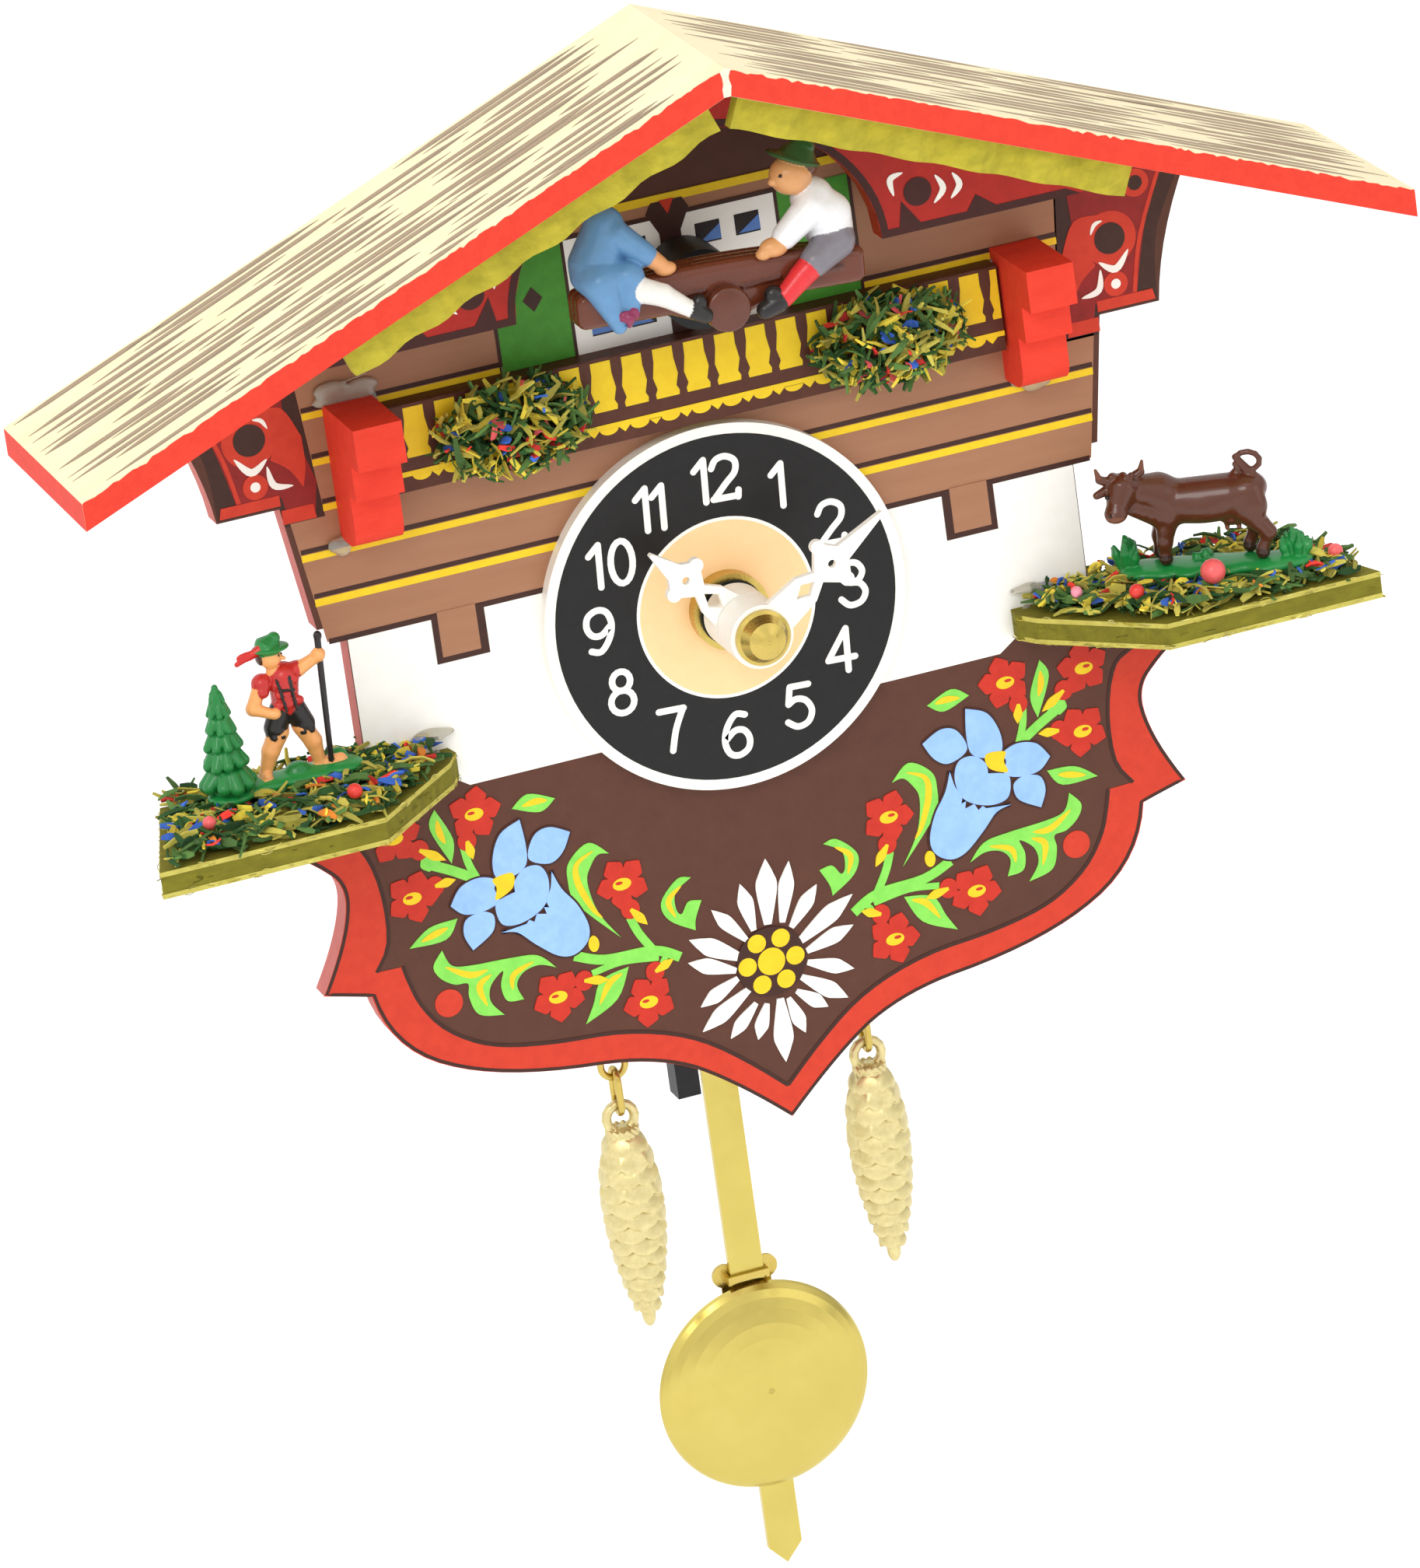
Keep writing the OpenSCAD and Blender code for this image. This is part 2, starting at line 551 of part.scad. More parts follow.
module centre_wheel() color("gold") wheel(m_train, centre_n, centre_turn, layer[2], [0, 0], arbor_r + 0.15 + fit);
module third_wheel() color("gold") {
    wheel(m_train, pinion_n, third_turn, layer[2], third_p);
    wheel(m_train, third_n, 0, layer[3], third_p);
    arbor(third_p);
}
module second_wheel() color("white") {
    wheel(m_train, pinion_n, second_turn, layer[3], second_p);
    wheel(m_step, second_n, 0, layer[4], second_p);
    arbor(second_p);
}
module step_wheel() color("white") {
    wheel(m_step, pinion_n, step_turn, layer[4], step_p);
    wheel(m_train, step_n, 0, layer[5], step_p);
    arbor(step_p);
}
module rotor() color("silver") {
    wheel(m_train, pinion_n, rotor_turn, layer[5], rotor_p);
    bar(2.4, layer[5] + wheel_t + 0.3, layer[5] + wheel_t + 2.2, rotor_p[0], rotor_p[1]);
    arbor(rotor_p);
}
module minute_arbor() color("white") {
    bar(minute_r, minute_hub_y - minute_hub_l + 0.6, layer[1] + wheel_t);
    wheel(m_cannon, cannon_n, 0, layer[1], [0, 0]);
    bar(arbor_r + 0.15, layer[1], inner_back - 0.3, $fn = 24);
    bar(arbor_r, inner_back - 0.4, inner_back + pivot_depth - 0.1, $fn = 24);
}
motion_turn = mesh(cannon_n, 0, motion_n, -20);
motion_pinion_turn = 0;
hour_turn = mesh(pinion_n, motion_pinion_turn, hour_n, 160);
knob_turn = mesh(motion_n, motion_turn, cannon_n, 20);
module motion_wheel() color("white") {
    wheel(m_cannon, motion_n, motion_turn, layer[1], motion_p, 0.7 + fit);
    wheel(m_motion, pinion_n, motion_pinion_turn, layer[0], motion_p, 0.7 + fit);
    translate([motion_p[0], 0, motion_p[1]]) slab(layer[0] + wheel_t, layer[1] - layer[0] - wheel_t) difference() {
        circle(r = 1.15, $fn = 24);
        circle(r = 0.7 + fit, $fn = 24);
    }
}
module hour_wheel() color("white") {
    wheel(m_motion, hour_n, hour_turn, layer[0], [0, 0], minute_r + fit);
    difference() {
        bar(tube_r, hour_hub_y - hour_hub_l + 0.2, layer[0] + 0.2);
        bar(minute_r + fit, hour_hub_y - hour_hub_l - 1, layer[0] + 1);
    }
}
knob_r = 3.4;
module setting_knob() color("white") {
    wheel(m_cannon, cannon_n, knob_turn, layer[1], knob_p);
    bar(arbor_r, inner_front - pivot_depth + 0.1, layer[1], knob_p[0], knob_p[1], $fn = 24);
    bar(0.9, layer[1], case_back_y + 0.6, knob_p[0], knob_p[1]);
    bar(knob_r, case_back_y + 0.4, case_back_y + 2.6, knob_p[0], knob_p[1]);
}

// ---- battery ----
module battery() color("silver") translate([-cell_l / 2, cell_y, cell_z]) rotate([0, 90, 0]) {
    cylinder(r = cell_r, h = cell_l - 1);
    cylinder(r = 2.7, h = cell_l);
}
module battery_contacts() color("silver") for (side = [-1, 1])
    translate([side * (case_w / 2 - case_wall - 0.35) - 0.25, cell_y - 4, cell_z - 5]) cube([0.5, 8, 10]);

// ---- pendulum drive ----
cradle_y = case_back_y + touch;
bar_y = leader_y + leader_t + 1.4;
module cradle_block(x0, x1, y0, y1, z0, z1) translate([x0, y0, z0]) cube([x1 - x0, y1 - y0, z1 - z0]);
module pendulum_cradle() color("black") difference() {
    union() {
        cradle_block(-cradle_half, cradle_half, cradle_y, cradle_y + cradle_wall, cradle_low, hang_z + hang_rise);
        for (x = [-cradle_half, cradle_half - cradle_wall])
            cradle_block(x, x + cradle_wall, cradle_y, wall_y, cradle_low, hang_z + hang_rise);
        cradle_block(-cradle_half, cradle_half, wall_y - 2, wall_y, hang_z - 7, hang_z + hang_rise);
        cradle_block(-cradle_half, cradle_half, bar_y, wall_y, pivot_z - 3.5, pivot_z + 3.5);
    }
    bar(hang_r, wall_y - 3, wall_y + 1, z = hang_z);
    bar(pin_r + fit, cradle_y - 1, cradle_y + 3, z = axle_z);
    bar(pin_r + touch, cradle_y + 0.5, bar_y + 2, z = pivot_z);
}
coil_z = -19;
module pendulum_coil() color("orange") difference() {
    bar(7, cradle_y + cradle_wall + touch, leader_y - 2.6, z = coil_z);
    bar(2.5, cradle_y, leader_y, z = coil_z);
}
module leader_pin() color("silver") bar(pin_r, cradle_y + 0.6, bar_y + 1.9, z = pivot_z);
module pendulum_leader() color("black") difference() {
    union() {
        bar(3, cradle_y + cradle_wall + 0.6, bar_y - 0.4, z = pivot_z);
        cradle_block(-1.7, 1.7, leader_y, leader_y + leader_t, pivot_z, link_z + 1.6);
        bar(pin_r, crank_y - 0.2, leader_y + 0.5, z = link_z);
        cradle_block(-3.4, 3.4, leader_y, leader_y + leader_t, coil_z - 4, pivot_z);
        cradle_block(-3, 1.8, leader_y, leader_y + leader_t, peg_z + 4, coil_z);
        cradle_block(-foot_x, 2.4, leader_y, leader_y + foot_d, peg_z + 2, peg_z + 5);
        cradle_block(-foot_x, -2.9, leader_y, leader_y + foot_d, peg_z - 4, peg_z + 3);
        translate([-3, swing_y, peg_z]) rotate([0, 90, 0]) cylinder(r = pin_r, h = 5.4);
    }
    bar(pin_r + fit, cradle_y, bar_y + 1, z = pivot_z);
    bar(3.1, leader_y - 1, leader_y + 1.2, z = coil_z);
}
module leader_magnet() color("silver") bar(3, leader_y - 0.8, leader_y + 1.15, z = coil_z);

// ---- pendulum rod and bob ----
rod_y = swing_y - rod_t / 2;
module pendulum_rod() color("gold") {
    slab(rod_y, rod_t) polygon([[-rod_w / 2, rod_top_z], [rod_w / 2, rod_top_z], [rod_w / 2, rod_tip_z + 2.4],
        [0, rod_tip_z], [-rod_w / 2, rod_tip_z + 2.4]]);
    translate([-0.9, swing_y, peg_z]) rotate([0, 90, 0]) difference() {
        cylinder(r = pin_r + 0.7, h = 2.2);
        translate([0, 0, -1]) cylinder(r = pin_r + touch, h = 5);
    }
}
sheet = 0.4;
dome = 2.8;
back_y = rod_y - 0.06 - sheet;
module bob_front() color("gold") translate([0, back_y - touch, bob_z]) rotate([90, 0, 0]) rotate_extrude($fn = 96)
    polygon(concat([[0, dome]], [for (a = [10:10:80]) [bob_r * sin(a), dome * cos(a)]], [[bob_r, 0]],
        [[bob_r - 0.5, 0]], [for (a = [80:-10:10]) [(bob_r - 0.5) * sin(a), (dome - sheet) * cos(a)]], [[0, dome - sheet]]));
module bob_back() color("darkgoldenrod") bar(bob_r - 0.4, back_y, back_y + sheet, z = bob_z, $fn = 96);
clip_y = rod_y + rod_t + 0.06;
module bob_clip() color("goldenrod") {
    clip_z = bob_z + bob_r + 0.2;
    half = rod_w / 2 + 0.1;
    slab(clip_y, sheet) union() {
        translate([-3.2, clip_z - 12]) square([6.4, 14]);
        for (x = [-2.7, 2.7]) translate([x, clip_z + 0.9]) circle(r = 1.5, $fn = 24);
    }
    for (x = [-half - sheet, half]) {
        cradle_block(x, x + sheet, back_y, clip_y + 0.1, clip_z, clip_z + 1.1);
        cradle_block(x, x + sheet, back_y + sheet + 0.02, clip_y + 0.1, clip_z - 11, clip_z - 7);
    }
    cradle_block(-half - sheet, half + sheet, back_y - 0.1, back_y + sheet, clip_z + 0.25, clip_z + 1.1);
}

// ---- weights ----
module weight_hooks() color("silver") for (x = hook_x)
    bar(hook_r, plate_t + touch, weight_y + 1.4, x, hook_z, $fn = 20);
link1_low = hook_z - 5.4;
link2_low = ring_z + ring_r - 0.62 - wire_r - 0.06;
module chain(x) color("gold") translate([x, weight_y, 0]) {
    link(link1_low, hook_z + hook_r + wire_r + 0.05, 1.5);
    rotate([0, 0, 90]) link(link2_low, link1_low + 2 * wire_r + 0.1, 1.2);
}
module chain_left() chain(hook_x[0]);
module chain_right() chain(hook_x[1]);
module cone(x) color("gold") translate([x, weight_y, 0]) {
    translate([0, 0, ring_z]) rotate([90, 0, 0]) rotate_extrude() translate([ring_r, 0]) circle(r = 0.62, $fn = 20);
    low = cone_top_z - cone_l;
    rings = 7;
    translate([0, 0, low]) rotate_extrude() polygon(concat([[0, 0]],
        [for (i = [0:rings - 1]) let (t = (i + 0.5) / rings) [cone_r * pow(sin(28 + 118 * t), 1.2), cone_l * 0.86 * t]],
        [[2.5, cone_l * 0.88], [3, cone_l * 0.9], [3, cone_l * 0.96], [2.1, cone_l], [0, cone_l]]));
}
module cone_left() cone(hook_x[0]);
module cone_right() cone(hook_x[1]);

placed() front_plate();
placed() gable_board();
placed() balcony_rail();
placed() roof_left();
placed() roof_right();
placed() valance_left();
placed() valance_right();
placed() bracket_left();
placed() bracket_right();
placed() flowers_left();
placed() flowers_right();
placed() shelf_left();
placed() shelf_right();
placed() turf_left();
placed() turf_right();
placed() hiker();
placed() fir_tree();
placed() cow();
placed() cow_meadow();
placed() seesaw_plank();
placed() girl();
placed() boy();
placed() rocker_disc();
placed() rocker_axle();
placed() rocker_crank();
placed() dial();
placed() shaft_nut();
placed() hour_hand();
placed() minute_hand();
placed() hand_cap();
placed() case_front();
placed() case_back();
placed() circuit_board();
placed() stator();
placed() drive_coil();
placed() rotor();
placed() step_wheel();
placed() second_wheel();
placed() third_wheel();
placed() centre_wheel();
placed() minute_arbor();
placed() motion_wheel();
placed() hour_wheel();
placed() setting_knob();
placed() battery();
placed() battery_contacts();
placed() pendulum_cradle();
placed() pendulum_coil();
placed() pendulum_leader();
placed() leader_magnet();
placed() leader_pin();
placed() pendulum_rod();
placed() bob_front();
placed() bob_back();
placed() bob_clip();
placed() weight_hooks();
placed() chain_left();
placed() chain_right();
placed() cone_left();
placed() cone_right();
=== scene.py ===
"""Looks of a small chalet wall clock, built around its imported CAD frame.

The helpers work in millimetres on the face of the clock: x to the right, y into the wall
and z up, with the hand axis at x = z = 0 and the front of the printed plate at y = 0.
"""

import logging
import math
import random
from dataclasses import dataclass, field
from enum import Enum
from typing import Callable, Iterable, Sequence

import bpy
import numpy as np
from mathutils import Matrix, Vector


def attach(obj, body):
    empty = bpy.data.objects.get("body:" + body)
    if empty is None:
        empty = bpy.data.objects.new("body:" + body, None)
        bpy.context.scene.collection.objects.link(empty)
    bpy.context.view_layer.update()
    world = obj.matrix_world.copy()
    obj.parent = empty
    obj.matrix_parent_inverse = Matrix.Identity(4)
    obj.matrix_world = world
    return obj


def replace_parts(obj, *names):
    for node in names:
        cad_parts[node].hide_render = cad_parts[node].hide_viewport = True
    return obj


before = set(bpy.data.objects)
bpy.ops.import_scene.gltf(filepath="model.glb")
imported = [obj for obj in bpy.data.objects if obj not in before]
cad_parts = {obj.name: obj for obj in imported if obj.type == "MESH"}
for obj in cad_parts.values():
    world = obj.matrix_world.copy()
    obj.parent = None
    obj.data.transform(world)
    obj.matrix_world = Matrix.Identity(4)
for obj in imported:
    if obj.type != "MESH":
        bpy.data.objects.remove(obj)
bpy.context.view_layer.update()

LOG = logging.getLogger("chalet_clock")
MM = 0.001
WALL_Y = 34.0
HANG_Z = 45.0
ROOF_ANGLE = math.radians(22.05)
RIDGE_Z = 71.8
ROOF_HALF = 79.7
ROOF_FRONT = -29.0
PLATE_BACK = 3.2
FILM = 0.035

Point = tuple[float, float]
Place = tuple[float, float, float]
Colour = tuple[float, float, float]


def at(x: float, y: float, z: float) -> Vector:
    """Turn a place on the clock's face into the frame's own metres.

    Args:
        x: Millimetres to the right of the hand axis.
        y: Millimetres behind the front of the printed plate.
        z: Millimetres above the hand axis.

    Returns:
        The same place in the frame.
    """
    return Vector((x, y - WALL_Y, z - HANG_Z)) * MM


def linear(colour: Colour) -> tuple[float, float, float, float]:
    """Turn an sRGB colour of 0 to 255 into linear light with full alpha.

    Args:
        colour: Red, green and blue from 0 to 255.

    Returns:
        Linear red, green, blue and alpha.
    """
    parts = [c / 255.0 for c in colour]
    light = [p / 12.92 if p <= 0.04045 else ((p + 0.055) / 1.055) ** 2.4 for p in parts]
    return light[0], light[1], light[2], 1.0


class Grain(Enum):
    """The kinds of surface detail that a finish can carry."""

    MOTTLED = "mottled"
    STREAKED = "streaked"
    SPONGED = "sponged"
    FIBROUS = "fibrous"


@dataclass(frozen=True)
class Finish:
    """One procedural surface finish.

    Attributes:
        name: The material's name.
        colour: The main colour, sRGB 0 to 255.
        second: The colour that the grain mixes in.
        grain: The kind of detail.
        size: The size of the detail in millimetres.
        amount: How strongly the second colour shows, 0 to 1.
        rough: Mean roughness.
        bump: Height of the relief in millimetres.
        metallic: 1 for bare metal.
        coat: Strength of a clear lacquer.
        clear: How much light passes through, 0 to 1.
        painted: Whether the colour comes from the piece's own paint.
        gloss: Strength of the mirror-like reflection at its surface.
    """

    name: str
    colour: Colour
    second: Colour | None = None
    grain: Grain = Grain.MOTTLED
    size: float = 3.0
    amount: float = 0.5
    rough: float = 0.5
    bump: float = 0.02
    metallic: float = 0.0
    coat: float = 0.0
    clear: float = 0.0
    painted: bool = False
    gloss: float = 0.3

    def material(self) -> bpy.types.Material:
        """Give the Blender material of this finish, made on first use.

        Returns:
            The material.
        """
        title = f"look_{self.name}"
        known = bpy.data.materials.get(title)
        if known:
            return known
        made = bpy.data.materials.new(title)
        made.use_nodes = True
        nodes = made.node_tree.nodes
        links = made.node_tree.links
        shader = nodes["Principled BSDF"]
        coords = nodes.new("ShaderNodeTexCoord")
        stretch = nodes.new("ShaderNodeMapping")
        long_way = {Grain.STREAKED: (0.12, 1.0, 1.0), Grain.FIBROUS: (0.25, 1.0, 0.6)}
        stretch.inputs["Scale"].default_value = long_way.get(self.grain, (1.0, 1.0, 1.0))
        links.new(coords.outputs["Object"], stretch.inputs["Vector"])
        broad = nodes.new("ShaderNodeTexNoise")
        broad.inputs["Scale"].default_value = 1.0 / (self.size * MM)
        broad.inputs["Detail"].default_value = 6.0
        broad.inputs["Roughness"].default_value = 0.62
        links.new(stretch.outputs["Vector"], broad.inputs["Vector"])
        fine = nodes.new("ShaderNodeTexNoise")
        fine.inputs["Scale"].default_value = 6.0 / (self.size * MM)
        fine.inputs["Detail"].default_value = 3.0
        links.new(stretch.outputs["Vector"], fine.inputs["Vector"])
        spread = nodes.new("ShaderNodeMapRange")
        crisp = 0.06 if self.grain is Grain.SPONGED else 0.2
        spread.inputs["From Min"].default_value = 0.5 - crisp
        spread.inputs["From Max"].default_value = 0.5 + crisp
        spread.inputs["To Max"].default_value = self.amount
        links.new(broad.outputs["Fac"], spread.inputs["Value"])
        blend = nodes.new("ShaderNodeMix")
        blend.data_type = "RGBA"
        links.new(spread.outputs["Result"], blend.inputs[0])
        main, other = blend.inputs[6], blend.inputs[7]
        main.default_value = linear(self.colour)
        other.default_value = linear(self.second or tuple(0.8 * c for c in self.colour))
        if self.painted:
            paint = nodes.new("ShaderNodeAttribute")
            paint.attribute_name = "paint"
            links.new(paint.outputs["Color"], main)
            shade = nodes.new("ShaderNodeMix")
            shade.data_type = "RGBA"
            shade.blend_type = "MULTIPLY"
            shade.inputs[0].default_value = 1.0
            shade.inputs[7].default_value = (0.72, 0.70, 0.68, 1.0)
            links.new(paint.outputs["Color"], shade.inputs[6])
            links.new(shade.outputs[2], other)
        links.new(blend.outputs[2], shader.inputs["Base Color"])
        sheen = nodes.new("ShaderNodeMapRange")
        sheen.inputs["To Min"].default_value = max(self.rough - 0.09, 0.03)
        sheen.inputs["To Max"].default_value = min(self.rough + 0.13, 1.0)
        links.new(fine.outputs["Fac"], sheen.inputs["Value"])
        links.new(sheen.outputs["Result"], shader.inputs["Roughness"])
        relief = nodes.new("ShaderNodeBump")
        relief.inputs["Strength"].default_value = 0.6
        relief.inputs["Distance"].default_value = self.bump * MM
        links.new(fine.outputs["Fac"], relief.inputs["Height"])
        links.new(relief.outputs["Normal"], shader.inputs["Normal"])
        shader.inputs["Metallic"].default_value = self.metallic
        shader.inputs["Specular IOR Level"].default_value = self.gloss
        shader.inputs["Coat Weight"].default_value = self.coat
        shader.inputs["Coat Roughness"].default_value = 0.08
        shader.inputs["Transmission Weight"].default_value = self.clear
        return made


# Dark brown base print of the whole plate; above the planks' top at z 49.2, where it shows through the arch
# under the gable and roof, it is painted shade.
BROWN = Finish("brown_print_and_painted_shade", (90, 52, 38), (74, 42, 30), size=2.4, rough=0.55)
EDGE_ROSE = Finish("board_edge", (206, 122, 116), (176, 96, 88), Grain.FIBROUS, 1.4, rough=0.8, bump=0.05)
PLANK = Finish("printed_plank", (166, 118, 88), (148, 100, 72), Grain.STREAKED, 2.2, rough=0.5)
DARK = Finish("printed_dark", (66, 36, 26), (48, 24, 18), size=1.6, rough=0.5)
YELLOW = Finish("printed_yellow", (240, 205, 30), (222, 178, 24), size=1.8, rough=0.5)
WHITE = Finish("printed_white", (248, 246, 240), (236, 232, 222), size=2.6, amount=0.35, rough=0.5)
RED = Finish("printed_red", (208, 60, 34), (184, 40, 24), size=1.5, rough=0.5)
DEEP_RED = Finish("printed_deep_red", (150, 30, 26), (104, 20, 18), size=1.8, rough=0.5)
PETAL = Finish("printed_petal", (202, 48, 28), (172, 32, 20), size=1.2, rough=0.5)
GREEN = Finish("printed_green", (138, 220, 88), (104, 190, 66), size=1.6, rough=0.5)
BLUE = Finish("printed_blue", (156, 196, 255), (122, 164, 240), size=1.6, rough=0.5)
SHUTTER = Finish("printed_shutter", (74, 150, 44), (52, 118, 30), size=1.6, rough=0.5)
PANE = Finish("printed_pane", (36, 23, 20), (20, 12, 12), size=1.4, rough=0.4)
SKY = Finish("printed_sky", (92, 132, 200), (70, 106, 178), size=1.4, rough=0.45)
BLACK_INK = Finish("printed_black", (26, 24, 24), (14, 13, 13), size=1.6, rough=0.38)
PEACH = Finish("printed_peach", (254, 212, 158), (248, 200, 144), size=3.0, rough=0.42)
CREAM = Finish("roof_cream", (232, 221, 184), (220, 206, 162), Grain.STREAKED, 3.2, rough=0.55, bump=0.04)
TAUPE = Finish("roof_streak", (164, 143, 118), (146, 124, 98), size=1.2, rough=0.55)
ROOF_RED = Finish("roof_edge", (222, 58, 38), (200, 44, 28), Grain.SPONGED, 1.2, 0.35, 0.6, 0.05)
CHIPPED = Finish("bare_white", (238, 226, 206), (222, 196, 170), size=0.8, rough=0.8, bump=0.06)
VALANCE = Finish("dyed_strip", (192, 178, 54), (138, 132, 36), Grain.FIBROUS, 1.2, 0.7, 0.8, 0.1)
BRACKET = Finish("red_block", (232, 62, 40), (202, 40, 24), Grain.FIBROUS, 1.4, rough=0.62, bump=0.06)
GABLE = Finish("gable_red", (178, 34, 22), (146, 22, 14), size=2.0, rough=0.5)
GABLE_DARK = Finish("gable_dark", (66, 24, 18), (48, 16, 12), size=1.6, rough=0.5)
RAIL = Finish("rail_brown", (88, 46, 30), (66, 32, 22), size=1.8, rough=0.5)
OLIVE = Finish("shelf_olive", (126, 120, 30), (96, 90, 22), Grain.FIBROUS, 1.0, 0.8, 0.85, 0.12)
OLIVE_PALE = Finish("shelf_pale", (200, 190, 95), (166, 152, 62), Grain.FIBROUS, 0.9, 0.7, 0.85, 0.12)
CHIPS = Finish("wood_chips", (190, 180, 80), size=0.7, amount=0.6, rough=0.85, bump=0.06, painted=True)
ENAMEL = Finish("figure_enamel", (255, 255, 255), size=1.1, amount=0.35, rough=0.3, coat=0.25, painted=True)
GLOSS_BROWN = Finish("seesaw_brown", (98, 46, 24), (70, 30, 16), size=2.0, rough=0.2, coat=0.5)
COW_BROWN = Finish("cow_brown", (86, 46, 26), size=1.4, amount=0.4, rough=0.22, coat=0.35, painted=True)
BLACK = Finish("black_plastic", (26, 26, 27), (40, 40, 42), size=1.2, amount=0.4, rough=0.42, bump=0.012)
DIAL = Finish("dial_card", (246, 244, 236), (238, 234, 222), size=2.5, amount=0.4, rough=0.35)
HAND = Finish("white_plastic", (249, 247, 240), (240, 236, 226), size=2.2, amount=0.4, rough=0.32, bump=0.006)
BRASS = Finish("satin_brass", (206, 182, 100), (184, 158, 76), size=1.4, amount=0.4, rough=0.26, metallic=1.0)
GOLD = Finish("gold_mirror", (208, 190, 104), (188, 166, 80), size=9.0, amount=0.4, rough=0.2, bump=0.003,
              metallic=1.0)
ANTIQUE = Finish("antique_gold", (226, 212, 156), (186, 168, 106), size=1.0, amount=0.5, rough=0.34,
                 bump=0.03, metallic=0.85)
STEEL = Finish("plain_steel", (176, 178, 182), (150, 152, 158), size=1.5, amount=0.4, rough=0.32,
               metallic=1.0)
COPPER = Finish("enamelled_wire", (184, 92, 40), (150, 66, 26), Grain.STREAKED, 0.5, rough=0.3, metallic=0.8)
CIRCUIT = Finish("solder_resist", (16, 84, 40), (12, 64, 30), size=1.5, rough=0.35)
CELL = Finish("cell_sleeve", (84, 90, 104), (60, 64, 76), size=4.0, rough=0.3, metallic=0.5)
MAGNET = Finish("sintered_magnet", (70, 70, 74), (50, 50, 54), size=0.8, rough=0.6, metallic=0.6)
GEAR = Finish("gear_nylon", (232, 228, 214), (218, 212, 194), size=1.6, rough=0.4)
GLUE = Finish("dried_glue", (244, 240, 226), (230, 222, 200), size=1.4, rough=0.16, bump=0.04, clear=0.75)
FLOOR = Finish("studio_floor", (252, 252, 252), (249, 249, 249), size=90.0, amount=0.3, rough=0.75, bump=0.1)

CAD_LOOKS: dict[str, tuple[Finish, float]] = {
    "front_plate": (EDGE_ROSE, 0.12), "gable_board": (GABLE, 0.12), "balcony_rail": (RAIL, 0.1),
    "roof_left": (CREAM, 0.22), "roof_right": (CREAM, 0.22), "valance_left": (VALANCE, 0.1),
    "valance_right": (VALANCE, 0.1), "bracket_left": (BRACKET, 0.25), "bracket_right": (BRACKET, 0.25),
    "shelf_left": (OLIVE, 0.12), "shelf_right": (OLIVE, 0.12), "rocker_disc": (BLACK, 0.2),
    "rocker_axle": (STEEL, 0.05), "rocker_crank": (BLACK, 0.1), "dial": (DIAL, 0.3),
    "shaft_nut": (BRASS, 0.25), "hour_hand": (HAND, 0.16), "minute_hand": (HAND, 0.16),
    "hand_cap": (BRASS, 0.12), "case_front": (BLACK, 0.2), "case_back": (BLACK, 0.2),
    "circuit_board": (CIRCUIT, 0.03), "stator": (STEEL, 0.03), "drive_coil": (COPPER, 0.05),
    "rotor": (MAGNET, 0.0), "step_wheel": (GEAR, 0.0), "second_wheel": (GEAR, 0.0),
    "third_wheel": (GEAR, 0.0),
    "centre_wheel": (GEAR, 0.0), "minute_arbor": (GEAR, 0.0), "motion_wheel": (GEAR, 0.0),
    "hour_wheel": (GEAR, 0.0), "setting_knob": (GEAR, 0.0), "battery": (CELL, 0.2),
    "battery_contacts": (STEEL, 0.04), "pendulum_cradle": (BLACK, 0.3), "pendulum_coil": (COPPER, 0.08),
    "pendulum_leader": (BLACK, 0.12), "leader_magnet": (MAGNET, 0.1), "leader_pin": (STEEL, 0.04),
    "pendulum_rod": (GOLD, 0.12), "bob_front": (GOLD, 0.1), "bob_back": (GOLD, 0.05),
    "bob_clip": (BRASS, 0.04),
    "weight_hooks": (STEEL, 0.0), "chain_left": (BRASS, 0.0), "chain_right": (BRASS, 0.0),
}


def dress_cad() -> None:
    """Give every CAD node that stays in sight its finish and softened edges."""
    for name, (finish, radius) in CAD_LOOKS.items():
        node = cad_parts[name]
        node.data.materials.clear()
        node.data.materials.append(finish.material())
        if radius:
            soften = node.modifiers.new("Softened", "BEVEL")
            soften.width = radius * MM
            soften.segments = 3
            soften.limit_method = "ANGLE"
            soften.angle_limit = math.radians(40)
            soften.use_clamp_overlap = True


